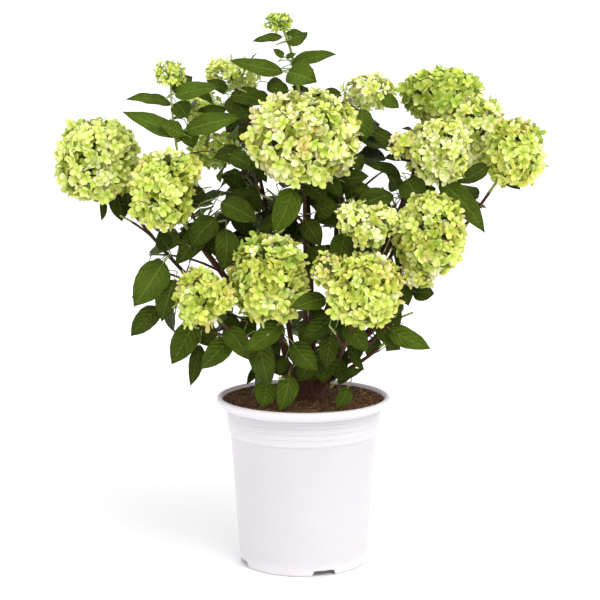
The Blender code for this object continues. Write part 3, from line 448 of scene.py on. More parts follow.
CANES = (
    Cane("far_left", "left_front", [Head(mm(-268, 20, 529), 0.052, 0.053, 7, 12, Bloom.LIME)],
         [Side(0.42, tip=mm(-205, -50, 395), pairs=3, roll=20, leaf=1.05),
          Side(0.66, tip=mm(-236, -10, 460), roll=50, leaf=0.95)],
         seat=0.86, spread=0.64, share=0.34, roll=70, leaf=0.95),
    Cane("left", "left_back",
         [Head(mm(-181, -55, 498), 0.044, 0.051, 7, 11, Bloom.LIME_WARM),
          Head(mm(-138, -47, 520), 0.018, 0.019, 4, 7, Bloom.YELLOW)],
         [Side(0.62, [Head(mm(-169, -20, 643), 0.021, 0.017, 4, 7, Bloom.BUDDING)], pairs=4, roll=40,
               leaf=1.25),
          Side(0.46, tip=mm(-127, -15, 452), pairs=4, roll=30, leaf=1.05)],
         seat=0.7, spread=0.58, share=0.34, pairs=3, roll=40),
    Cane("upper_left", "left_back", [Head(mm(-94, 100, 637), 0.036, 0.02, 5, 9, Bloom.LOOSE)],
         [Side(0.55, [Head(mm(-119, 90, 537), 0.032, 0.022, 5, 9, Bloom.LACY)], roll=60),
          Side(0.66, [Head(mm(-132, 66, 594), 0.025, 0.021, 4, 8, Bloom.LACY)], roll=15),
          Side(0.5, tip=mm(-78, 35, 500), pairs=3, roll=75, leaf=1.05)],
         spread=0.45, pairs=6, roll=25, leaf=1.05),
    Cane("centre", "centre", [Head(mm(-1, -75, 567), 0.07, 0.057, 8, 14, Bloom.BLUSHING)],
         [Side(0.55, tip=mm(-55, -45, 490), pairs=4, roll=35),
          Side(0.48, tip=mm(60, -50, 485), pairs=3, roll=80)], seat=0.98, spread=0.2, share=0.28, roll=20),
    Cane("top", "back", [Head(mm(-31, 15, 707), 0.019, 0.012, 4, 8, Bloom.BUDDING)],
         [Side(0.62, tip=mm(-85, 45, 620), pairs=3, leaf=1.1)],
         tip=mm(-31, 15, 704), spread=0.12, share=0.28, pairs=7, roll=50, leaf=1.25),
    Cane("upper_right", "right_back", [Head(mm(90, 35, 618), 0.036, 0.023, 5, 10, Bloom.LOOSE)],
         [Side(0.62, tip=mm(45, 50, 610), roll=10),
          Side(0.52, tip=mm(110, 10, 520), pairs=3, roll=40, leaf=0.95)],
         seat=0.56, spread=0.24, pairs=6, roll=35),
    Cane("far_upper_right", "right_back", [Head(mm(180, 75, 614), 0.053, 0.034, 7, 12, Bloom.GREEN)],
         [Side(0.74, [Head(mm(226, 50, 569), 0.037, 0.041, 6, 10, Bloom.LIME)], roll=45)],
         seat=0.84, spread=0.62, share=0.32, pairs=6, roll=10),
    Cane("right", "right_front",
         [Head(mm(169, -45, 548), 0.045, 0.04, 7, 11, Bloom.CREAMY),
          Head(mm(128, -40, 557), 0.013, 0.014, 4, 6, Bloom.BUFF)],
         [Side(0.58, tip=mm(100, -40, 500), pairs=4, roll=60, leaf=0.95)],
         spread=0.52, share=0.32, pairs=5, roll=55, leaf=1.05),
    Cane("far_right", "right_front", [Head(mm(269, -30, 542), 0.035, 0.044, 6, 10, Bloom.YELLOW)],
         [Side(0.62, tip=mm(207, -65, 490), pairs=3, roll=10, leaf=1.1)],
         seat=0.84, spread=0.62, share=0.34, pairs=5, roll=15),
    Cane("low_right", "right_front",
         [Head(mm(158, -88, 451), 0.044, 0.053, 7, 11, Bloom.LIME_BLUSH),
          Head(mm(156, -92, 385), 0.024, 0.023, 4, 8, Bloom.BUFF)],
         [Side(0.42, tip=mm(140, -50, 340), pairs=4, roll=30, leaf=1.0)],
         seat=0.62, spread=0.78, share=0.34, roll=80),
    Cane("inner_right", "centre",
         [Head(mm(63, -125, 469), 0.022, 0.02, 4, 8, Bloom.LOOSE),
          Head(mm(94, -120, 466), 0.021, 0.018, 4, 8, Bloom.LOOSE),
          Head(mm(79, -130, 452), 0.018, 0.016, 4, 8, Bloom.LOOSE)],
         [Side(0.55, tip=mm(112, -50, 410), pairs=3, roll=60)],
         tip=mm(75, -120, 466), seat=0.66, spread=0.5, share=0.34, roll=15),
    Cane("front", "left_front", [Head(mm(-42, -100, 397), 0.05, 0.055, 7, 12, Bloom.YELLOW)],
         [Side(0.45, tip=mm(-45, -115, 322), pairs=4, roll=20, leaf=0.9)],
         seat=0.98, spread=0.62, share=0.34, roll=65),
    Cane("front_right", "right_front",
         [Head(mm(71, -155, 385), 0.05, 0.044, 7, 12, Bloom.YELLOW_BUFF),
          Head(mm(30, -151, 410), 0.018, 0.02, 4, 7, Bloom.BUFF)],
         [Side(0.42, tip=mm(32, -120, 335), pairs=4, roll=40, leaf=0.95)],
         seat=0.46, spread=0.7, share=0.34, roll=30),
    Cane("low_left", "left_front",
         [Head(mm(-127, -120, 371), 0.032, 0.035, 5, 9, Bloom.YELLOW_BUFF),
          Head(mm(-99, -134, 377), 0.009, 0.009, 3, 6, Bloom.YELLOW)],
         [Side(0.46, tip=mm(-150, -60, 325), pairs=3, roll=70, leaf=1.0)],
         seat=0.66, spread=0.66, share=0.34, pairs=3, roll=20, leaf=0.95),
    Cane("back_left", "left_back", [Head(mm(-190, 130, 485), 0.045, 0.043, 6, 9, Bloom.PALE)],
         [Side(0.5, tip=mm(-205, 60, 400), roll=45)], seat=0.84, share=0.34, roll=15),
    Cane("back", "back", [Head(mm(5, 170, 545), 0.055, 0.048, 6, 10, Bloom.LIME_BLUSH)],
         [Side(0.5, tip=mm(-50, 140, 480), roll=10), Side(0.56, tip=mm(60, 150, 480), roll=50)],
         seat=0.78, spread=0.64, share=0.32, pairs=3, roll=35),
    Cane("back_right", "right_back", [Head(mm(190, 165, 530), 0.048, 0.043, 6, 9, Bloom.YELLOW)],
         [Side(0.55, tip=mm(120, 140, 470), roll=30)], share=0.34, roll=60),
    Cane("low_back_left", "left_back", [Head(mm(-60, 175, 365), 0.044, 0.044, 6, 9, Bloom.LIME)],
         [Side(0.5, tip=mm(-120, 120, 340), roll=60)], seat=0.54, spread=0.7, share=0.36, pairs=3, roll=20),
    Cane("low_back_right", "back", [Head(mm(92, 180, 420), 0.04, 0.038, 5, 9, Bloom.PALE)],
         [Side(0.46, tip=mm(110, 130, 340), roll=15)], seat=0.56, spread=0.62, share=0.36, pairs=3, roll=75),
    Cane("side_right", "right_back", [Head(mm(176, 96, 422), 0.037, 0.037, 5, 9, Bloom.LIME)],
         [Side(0.46, tip=mm(150, 60, 350), pairs=3, roll=35)],
         tip=mm(176, 98, 424), seat=0.34, spread=0.66, share=0.36, pairs=3, roll=5),
)

# Leafy shoots with no flower head, low on the stool, whose masses meet it with no bough between.
SKIRTS = (
    Cane("front_skirt", "left_front", tip=mm(-30, -88, 262), seat=0.4, spread=0.5, share=0.0, leaf=0.8),
    Cane("left_skirt", "left_front", tip=mm(-110, -55, 312), seat=0.5, spread=0.62, share=0.0, pairs=5,
         roll=30, leaf=0.95),
    Cane("right_skirt", "right_front", tip=mm(110, -45, 305), seat=0.26, spread=0.62, share=0.0, pairs=5,
         roll=60, leaf=0.95),
    Cane("back_skirt", "left_back", tip=mm(-20, 105, 300), seat=0.36, spread=0.62, share=0.0, roll=20,
         leaf=0.95),
)

# Leaves listed one by one, in millimetres.
# The last number of each is its youth and light, which sets its green: partly its age, partly painted light
# and shade, high for leaves in light at the front and top and low for leaves deep in the crown's shade.
SHOWN = tuple(ShownLeaf(mass, Vector(foot) / 1000.0, Vector(tip) / 1000.0, *stance)
              for mass, foot, tip, *stance in (
    ("top", (-27, 10, 688), (-66, 0, 683), 0.3, 0, 0.5, 0.8),
    ("top", (-23, 18, 682), (4, 30, 690), 0.74, 0.2, 0.3, 0.45),
    ("top", (-25, 5, 663), (-39, 0, 673), 0.54, 0, 0.3, 0.9),
    ("top", (-23, 5, 662), (-9, 0, 667), 0.55, 0, 0.4, 0.9),
    ("top", (-26, 10, 643), (-95, -5, 660), 0.3, 0.1, 0.4, 0.7),
    ("top", (-20, 5, 643), (17, -20, 632), 0.81, 0.2, 0.2, 0.6),
    ("top", (-17, 18, 652), (43, 10, 667), 0.3, 0, 0.5, 0.7),
    ("top", (-19, 20, 619), (-46, 10, 623), 0.72, 0, 0.3, 0.45),
    ("top", (-18, 30, 618), (9, 40, 619), 0.5, 0.1, 0.3, 0.3),
    ("left", (-168, -18, 603), (-227, -24, 611), 0.3, 0, 0.7, 0.75),
    ("left", (-150, -30, 565), (-229, -45, 597), 0.3, 0, 0.5, 0.6),
    ("left", (-153, -24, 564), (-182, -50, 581), 0.58, 0.1, 0.4, 0.6),
    ("left", (-166, -20, 619), (-141, -10, 639), 0.63, 0, 0.3, 0.45),
    ("left", (-163, -30, 616), (-105, -50, 627), 0.37, 0, 0.3, 0.85),
    ("left", (-162, -22, 606), (-147, -35, 587), 0.9, 0.1, 0.3, 0.5),
    ("left", (-150, -30, 571), (-79, -50, 590), 0.36, 0, 0.4, 0.7),
    ("left", (-148, -20, 574), (-140, -30, 548), 0.86, 0.2, 0.2, 0.45),
    ("upper_left", (-99, 60, 617), (-127, 50, 631), 0.55, 0, 0.4, 0.3),
    ("upper_left", (-95, 50, 612), (-39, 30, 602), 0.44, 0, 0.3, 0.45),
    ("upper_left", (-97, 50, 609), (-68, 30, 579), 0.7, 0.1, 0.2, 0.2),
    ("upper_left", (-101, 40, 593), (-139, 20, 593), 0.3, 0, 0.4, 0.2),
    ("upper_left", (-47, 60, 627), (-22, 50, 619), 0.76, 0, 0.3, 0.3),
    ("left", (-81, -10, 544), (-115, -30, 536), 0.6, 0, 0.3, 0.2),
    ("left", (-95, -20, 540), (-53, -40, 523), 0.47, 0, 0.3, 0.45),
    ("centre", (-65, -30, 536), (-46, -40, 505), 0.43, 0.3, 0.2, 0.1),
    ("left", (-76, 0, 492), (-106, -10, 511), 0.58, 0, 0.4, 0.1),
    ("left", (-94, -20, 491), (-54, -30, 487), 0.39, 0, 0.5, 0.3),
    ("left", (-105, -35, 480), (-57, -55, 457), 0.52, 0, 0.3, 0.45),
    ("centre", (-13, -70, 501), (-37, -95, 446), 0.53, 0.2, 0.3, 0.65),
    ("left", (-127, -30, 495), (-145, -40, 486), 0.92, 0, 0.2, 0.1),
    ("left", (-112, -45, 461), (-143, -60, 425), 0.62, 0.1, 0.2, 0.25),
    ("front", (-98, -60, 449), (-101, -85, 398), 0.52, 0.2, 0.2, 0.25),
    ("left", (-123, -35, 460), (-164, -55, 401), 0.39, 0.2, 0.3, 0.12),
    ("left", (-172, -50, 423), (-183, -60, 446), 0.77, 0.1, 0.2, 0.1),
    ("far_left", (-259, 0, 481), (-260, -10, 453), 0.36, 0.5, 0.1, 0.3),
    ("far_left", (-243, 10, 491), (-235, 0, 451), 0.71, 0.2, 0.1, 0.1),
    ("far_left", (-229, 0, 489), (-224, 0, 464), 0.56, 0.3, 0.1, 0.1),
    ("far_left", (-177, -55, 406), (-214, -85, 353), 0.6, 0.2, 0.2, 0.5),
    ("far_left", (-164, -60, 384), (-179, -85, 334), 0.53, -0.2, 0.2, 0.2),
    ("far_left", (-185, -45, 346), (-221, -55, 310), 0.48, 0.2, 0.3, 0.3),
    ("left_skirt", (-139, -60, 327), (-167, -85, 279), 0.52, 0.2, 0.3, 0.4),
    ("left_skirt", (-132, -65, 301), (-143, -85, 251), 0.34, 0.4, 0.2, 0.35),
    ("left_skirt", (-93, -75, 310), (-129, -100, 276), 0.51, 0.2, 0.3, 0.45),
    ("left_skirt", (-135, -45, 325), (-113, -60, 297), 0.72, 0.1, 0.2, 0.25),
    ("front", (-99, -85, 328), (-67, -105, 288), 0.46, -0.2, 0.3, 0.45),
    ("front", (-29, -100, 333), (-75, -130, 303), 0.44, 0.2, 0.5, 0.55),
    ("low_left", (-81, -70, 332), (-102, -80, 332), 0.65, 0, 0.5, 0.3),
    ("front_skirt", (-59, -85, 311), (-43, -105, 253), 0.52, -0.1, 0.2, 0.3),
    ("front_skirt", (-47, -55, 251), (-52, -75, 221), 0.77, 0.1, 0.2, 0.65),
    ("front_skirt", (-18, -60, 262), (-30, -85, 218), 0.55, 0.2, 0.3, 0.8),
    ("front", (-14, -85, 307), (18, -105, 275), 0.57, -0.1, 0.3, 0.45),
    ("front", (-31, -80, 332), (-61, -100, 308), 0.42, 0.1, 0.3, 0.3),
    ("front_right", (39, -90, 341), (-4, -115, 315), 0.46, 0.2, 0.3, 0.35),
    ("front_right", (35, -95, 321), (28, -115, 279), 0.49, 0.1, 0.2, 0.25),
    ("front_right", (53, -105, 337), (80, -125, 302), 0.55, -0.1, 0.3, 0.45),
    ("right_skirt", (108, -55, 321), (162, -75, 298), 0.43, 0, 0.4, 0.85),
    ("right_skirt", (95, -50, 325), (124, -60, 293), 0.59, 0, 0.3, 0.4),
    ("right_skirt", (95, -20, 303), (83, -10, 275), 0.59, 0.3, 0.1, 0.2),
    ("right_skirt", (58, -55, 300), (77, -75, 269), 0.34, -0.5, 0.2, 0.3),
    ("right_skirt", (43, -60, 250), (77, -70, 271), 0.32, 0.2, 0.6, 0.3),
    ("right_skirt", (57, -60, 245), (41, -80, 221), 0.51, 0.2, 0.2, 0.5),
    ("front_skirt", (8, -65, 284), (51, -85, 276), 0.52, 0, 0.4, 0.25),
    ("front_skirt", (19, -50, 264), (-3, -60, 256), 0.73, 0, 0.4, 0.1),
    ("centre", (27, -135, 372), (-17, -165, 365), 0.43, 0, 0.4, 0.5),
    ("low_right", (121, -70, 384), (132, -90, 355), 0.66, 0.1, 0.2, 0.25),
    ("low_right", (138, -65, 370), (166, -70, 368), 0.8, 0.1, 0.3, 0.3),
    ("low_right", (168, -60, 408), (188, -50, 397), 0.35, 0, 0.5, 0.3),
    ("front_right", (117, -80, 364), (104, -100, 342), 0.76, 0.1, 0.2, 0.2),
    ("far_right", (171, -50, 509), (228, -80, 446), 0.3, -0.2, 0.4, 0.45),
    ("far_right", (233, -50, 528), (192, -60, 507), 0.46, 0, 0.3, 0.3),
    ("far_right", (240, -25, 521), (277, -35, 496), 0.46, 0, 0.3, 0.25),
    ("centre", (74, -20, 598), (79, -40, 557), 0.49, 0.1, 0.2, 0.5),
    ("centre", (88, -20, 569), (128, -35, 545), 0.4, 0, 0.4, 0.3),
    ("upper_right", (48, 0, 614), (19, -10, 613), 0.58, 0, 0.3, 0.25),
    ("upper_right", (48, 0, 598), (68, -10, 584), 0.56, 0, 0.3, 0.1),
    ("upper_right", (102, 10, 612), (123, 0, 598), 0.69, 0, 0.3, 0.6),
    ("right", (141, -20, 534), (101, -30, 536), 0.36, 0, 0.5, 0.25),
    ("centre", (124, -20, 512), (79, -30, 529), 0.36, 0, 0.5, 0.2),
    ("right", (130, -50, 511), (148, -70, 482), 0.87, -0.1, 0.2, 0.2),
    ("right", (118, -40, 496), (110, -50, 515), 0.92, 0, 0.3, 0.2),
    ("centre", (64, -30, 541), (74, -40, 521), 0.85, 0, 0.2, 0.25),
    ("centre", (48, -35, 508), (83, -50, 515), 0.55, 0, 0.4, 0.3),
    ("centre", (30, -45, 509), (48, -60, 489), 0.58, 0, 0.3, 0.3),
    ("centre", (53, -40, 505), (95, -50, 485), 0.34, 0, 0.5, 0.2),
    ("centre", (2, -45, 505), (30, -65, 483), 0.6, 0, 0.3, 0.3),
    ("front", (-44, -45, 307), (-30, -50, 283), 0.64, 0, 0.2, 0.1),
    ("front", (10, -60, 329), (-3, -70, 299), 0.73, 0.1, 0.2, 0.15),
    ("front_right", (50, -50, 334), (56, -60, 297), 0.48, 0.1, 0.1, 0.1),
    ("right_skirt", (107, -50, 346), (122, -60, 324), 0.75, 0, 0.2, 0.15),
    ("right_skirt", (38, -30, 292), (57, -40, 265), 0.63, 0, 0.2, 0.1),
    ("front_skirt", (-41, -40, 281), (-25, -50, 257), 0.62, 0, 0.2, 0.1),
    ("left_skirt", (-85, -50, 308), (-103, -60, 297), 0.78, 0, 0.3, 0.15),
    ("left_skirt", (-60, -40, 326), (-85, -50, 321), 0.68, 0, 0.3, 0.15),
    ("centre", (22, -50, 346), (13, -60, 329), 0.84, 0, 0.2, 0.1),
    ("front", (-75, -50, 334), (-62, -60, 310), 0.65, 0, 0.2, 0.15),
    ("left", (-113, -20, 455), (-124, -30, 408), 0.71, 0.1, 0.2, 0.05),
    ("left", (-135, -30, 454), (-157, -40, 408), 0.54, 0.1, 0.2, 0.1),
    ("left", (-85, -20, 469), (-69, -30, 435), 0.65, 0, 0.2, 0.1),
    ("front_skirt", (13, -55, 284), (-7, -65, 253), 0.69, 0.1, 0.2, 0.12),
    ("front_skirt", (24, -50, 280), (25, -60, 250), 0.84, 0, 0.2, 0.2),
    ("low_right", (138, -65, 440), (116, -80, 403), 0.62, 0, 0.3, 0.3),
    ("right_skirt", (40, -45, 277), (53, -55, 252), 0.73, -0.1, 0.2, 0.12),
    ("right_skirt", (66, -40, 306), (69, -50, 276), 0.72, 0, 0.2, 0.1),
    ("front_skirt", (-22, -50, 283), (-31, -60, 259), 0.57, 0, 0.2, 0.15),
    ("front", (-47, -60, 338), (-43, -70, 309), 0.68, 0, 0.2, 0.25),
    ("inner_right", (16, -50, 469), (45, -75, 480), 0.71, 0, 0.2, 0.35),
    ("inner_right", (2, -50, 459), (22, -70, 428), 0.59, -0.1, 0.2, 0.25),
    ("inner_right", (51, -85, 445), (38, -105, 404), 0.66, 0.1, 0.2, 0.45),
    ("inner_right", (66, -85, 426), (95, -100, 442), 0.57, 0, 0.4, 0.55),
))

# Openings where the sky shows, as the eye sees them: middle, half width and half height in millimetres.
OPENINGS = ((-265, 349, 34, 94), (-212, 430, 18, 16), (-131, 385, 23, 10), (-235, 189, 47, 102),
            (-149, 178, 58, 48), (-107, 213, 29, 35), (166, 232, 68, 45), (220, 319, 42, 61),
            (255, 388, 39, 39), (332, 427, 65, 62), (108, 585, 14, 12), (137, 588, 12, 6),
            (100, 500, 12, 14), (25, 430, 8, 12), (-43, 495, 13, 9), (-119, 521, 8, 5),
            (-185, 553, 26, 9), (-87, 687, 23, 18), (-209, 640, 33, 15), (78, 672, 36, 23),
            (34, 636, 13, 10), (-22, 273, 10, 13), (50, 261, 5, 9), (-86, 258, 9, 13), (92, 516, 9, 8),
            (-4, 417, 6, 9), (-108, 261, 12, 11), (85, 242, 8, 15), (265, 462, 31, 23),
            (157, 322, 17, 16), (178, 370, 9, 16), (-196, 593, 15, 6), (228, 451, 13, 10),
            (-86, 266, 21, 8))


# ------------------------------------------------------------------ curves and solids of the rule
def end_of(plan: Cane | Side) -> Vector:
    """Where a cane or side shoot ends: at its own tip, or else in its first flower head."""
    return plan.heads[0].centre if plan.tip is None else plan.tip


def first_side(along: Vector, across: Vector) -> Vector:
    """A direction across a shoot, from which its leaves and twigs are turned."""
    return (along.cross(across) + Vector((0.0001, 0.0, 0.0))).normalized()


def walls(rings: int, sides: int, first: int = 0) -> list[list[int]]:
    """Faces between rings of points.

    Args:
        rings: how many rings there are.
        sides: how many points each has.
        first: the first point's number.

    Returns:
        Four corners for each face.
    """
    low = first + np.arange(rings - 1)[:, None] * sides
    k = np.arange(sides)[None]
    after = (k + 1) % sides
    faces = np.stack([low + k, low + after, low + after + sides, low + k + sides], axis=-1)
    return faces.reshape(-1, 4).tolist()


def bow(start: Vector, tip: Vector, spread: float) -> Vector:
    """Control point of a limb that sets out sideways and then turns up.

    Args:
        start: the limb's foot.
        tip: its end.
        spread: how far it sets out sideways.

    Returns:
        The control point.
    """
    across = Vector((tip.x - start.x, tip.y - start.y, 0.0))
    return start + across * spread + UP * (tip.z - start.z) * (1.0 - spread * 0.85)


def frames(directions: list[Vector]) -> list[tuple[Vector, Vector]]:
    """Two axes across a limb at each direction along it, carried along untwisted.

    Args:
        directions: the limb's direction at each stop.

    Returns:
        A pair of axes for each stop.
    """
    result: list[tuple[Vector, Vector]] = []
    across: Vector | None = None
    for along in directions:
        if across is None:
            across = along.cross(Vector((0.0, 1.0, 0.0)))
            if across.length < 0.2:
                across = along.cross(Vector((1.0, 0.0, 0.0)))
        across = (across - along * across.dot(along)).normalized()
        result.append((across, along.cross(across)))
    return result


def tube(points: list[Vector], directions: list[Vector], radii: list[float], sides: int) -> Solid:
    """A closed limb with flat ends.

    Args:
        points: its centre line.
        directions: its direction at each point.
        radii: its radius at each point.
        sides: how many sides it has.

    Returns:
        Its points and faces.
    """
    verts: list[Vector] = []
    for point, radius, (first, second) in zip(points, radii, frames(directions)):
        for k in range(sides):
            angle = math.tau * k / sides
            verts.append(point + first * (math.cos(angle) * radius) + second * (math.sin(angle) * radius))
    last = len(verts) - sides
    ends = [list(range(sides - 1, -1, -1)), list(range(last, last + sides))]
    return verts, walls(len(points), sides) + ends


class Path:
    """A smooth cane, read by the distance from its seat."""

    STEPS = 48

    def __init__(self, start: Vector, control: Vector, tip: Vector, radii: tuple[float, float]) -> None:
        """Measure the curve.

        Args:
            start: its foot.
            control: its control point.
            tip: its end.
            radii: its radius at the foot and at the end.
        """
        self.points = [start * (1 - t) ** 2 + control * (2 * t * (1 - t)) + tip * t ** 2
                       for t in (i / self.STEPS for i in range(self.STEPS + 1))]
        self.reach = [0.0]
        for a, b in zip(self.points, self.points[1:]):
            self.reach.append(self.reach[-1] + (b - a).length)
        self.length = self.reach[-1]
        self.radii = radii

    def at(self, distance: float) -> tuple[Vector, Vector]:
        """The point and the unit direction at a distance from the start.

        Args:
            distance: the distance.

        Returns:
            The point and the direction.
        """
        distance = min(max(distance, 0.0), self.length)
        index = 0
        while index < self.STEPS - 1 and self.reach[index + 1] < distance:
            index += 1
        a, b = self.points[index], self.points[index + 1]
        share = (distance - self.reach[index]) / (self.reach[index + 1] - self.reach[index])
        return a.lerp(b, share), (b - a).normalized()

    def radius(self, distance: float) -> float:
        """Radius at a distance from the start."""
        first, last = self.radii
        return first + (last - first) * min(max(distance / self.length, 0.0), 1.0)

    def limb(self, start: float, end: float, sides: int, step: float) -> Solid:
        """The limb between two distances.

        Args:
            start: where it begins.
            end: where it ends.
            sides: how many sides it has.
            step: the length of its stretches.

        Returns:
            Its points and faces.
        """
        count = max(2, round((end - start) / step) + 1)
        stops = [start + (end - start) * i / (count - 1) for i in range(count)]
        points, directions = zip(*(self.at(stop) for stop in stops))
        return tube(list(points), list(directions), [self.radius(stop) for stop in stops], sides)

    def line(self, begin: float, end: float, step: float) -> tuple[np.ndarray, np.ndarray, np.ndarray]:
        """Points between two distances, to be drawn.

        Args:
            begin: where they begin.
            end: where they end.
            step: about how far they are apart.

        Returns:
            The points, one in each row, their distances and the radius at each.
        """
        stops = np.linspace(begin, end, max(3, round((end - begin) / step) + 1))
        return (np.array([self.at(stop)[0] for stop in stops]), stops,
                np.array([self.radius(stop) for stop in stops]))


class Obstacle:
    """A solid's faces in a search tree, with its box, for tests of touching."""

    def __init__(self, verts: list[Vector], faces: list[list[int]]) -> None:
        """Note a solid's faces and its box."""
        self.low = [min(v[i] for v in verts) for i in range(3)]
        self.high = [max(v[i] for v in verts) for i in range(3)]
        self.tree = BVHTree.FromPolygons(verts, faces)

    def touches(self, other: "Obstacle") -> bool:
        """Whether the two surfaces cross."""
        if any(self.low[i] > other.high[i] or other.low[i] > self.high[i] for i in range(3)):
            return False
        return bool(self.tree.overlap(other.tree))


@dataclass(frozen=True)
class HeadRule:
    """The sizes by which a flower head's solid bulges, and by which leaves keep off it."""

    bump: float = 0.055
    foot: float = 0.86
    shoulder: float = 0.82
    crown: float = 0.90
    shade: float = 0.88
    skin: float = 1.04
    showy: float = 0.030
    shown_depth: float = 0.080

    def surface(self, bloom: Head, direction: np.ndarray) -> np.ndarray:
        """Points on a head's blunt-shouldered ball.

        Args:
            bloom: the head.
            direction: unit directions from its centre, one in each row.

        Returns:
            Offsets from the centre, one in each row.
        """
        lean = np.arcsin(np.clip(direction[:, 2], -1.0, 1.0))
        turn = np.arctan2(direction[:, 1], direction[:, 0])
        flat = np.abs(np.cos(lean)) ** self.shoulder * bloom.wide
        height = np.sign(lean) * np.abs(np.sin(lean)) ** self.crown * bloom.high
        return np.stack([flat * np.cos(turn), flat * np.sin(turn), height], axis=1)

    def ball(self, bloom: Head, rng: random.Random) -> Solid:
        """The head's solid, as coarse as the rule draws it.

        Args:
            bloom: the head.
            rng: its cane's random numbers.

        Returns:
            Its points and faces.
        """
        spokes = bloom.spokes
        verts = [bloom.centre - UP * bloom.high * self.foot]
        for ring in range(1, bloom.rings):
            lean = -math.pi / 2 + math.pi * ring / bloom.rings
            for spoke in range(spokes):
                angle = math.tau * (spoke + 0.5 * (ring % 2)) / spokes
                bump = 1.0 + rng.uniform(-self.bump, self.bump)
                flat = abs(math.cos(lean)) ** self.shoulder * bloom.wide * bump
                height = math.copysign(abs(math.sin(lean)) ** self.crown, lean) * bloom.high * bump
                verts.append(bloom.centre + Vector((flat * math.cos(angle), flat * math.sin(angle), height)))
        verts.append(bloom.centre + UP * bloom.high)
        top, crown = len(verts) - 1, len(verts) - 1 - spokes
        faces = walls(bloom.rings - 1, spokes, 1)
        for k in range(spokes):
            after = (k + 1) % spokes
            faces += [[0, 1 + after, 1 + k], [top, crown + k, crown + after]]
        return verts, faces

    def shaded(self, points: list[Vector], heads: list[Head]) -> bool:
        """Whether a leaf's points lie across the outer face of a flower head.

        Args:
            points: the leaf's points.
            heads: the flower heads.

        Returns:
            Whether any of them does.
        """
        for bloom in heads:
            if bloom.wide < self.showy:
                continue
            views = [Vector((bloom.centre.x, bloom.centre.y, 0.0)).normalized()]
            if bloom.centre.y < self.shown_depth:
                views.append(SHOW_SIDE)
            for view in views:
                for point in points:
                    offset = point - bloom.centre
                    depth = offset.dot(view)
                    aside = offset - view * depth
                    spread = math.hypot(aside.x, aside.y, aside.z * bloom.wide / bloom.high)
                    if depth > 0.0 and spread < bloom.wide * self.shade:
                        return True
        return False

    def blocks(self, points: list[Vector], heads: list[Head]) -> bool:
        """Whether a leaf's points lie in a flower head or across its outer face.

        Args:
            points: the leaf's points.
            heads: the flower heads.

        Returns:
            Whether any of them does.
        """
        for bloom in heads:
            for point in points:
                offset = point - bloom.centre
                out = math.hypot(offset.x, offset.y, offset.z * bloom.wide / bloom.high)
                if out < bloom.wide * self.skin:
                    return True
        return self.shaded(points, heads)


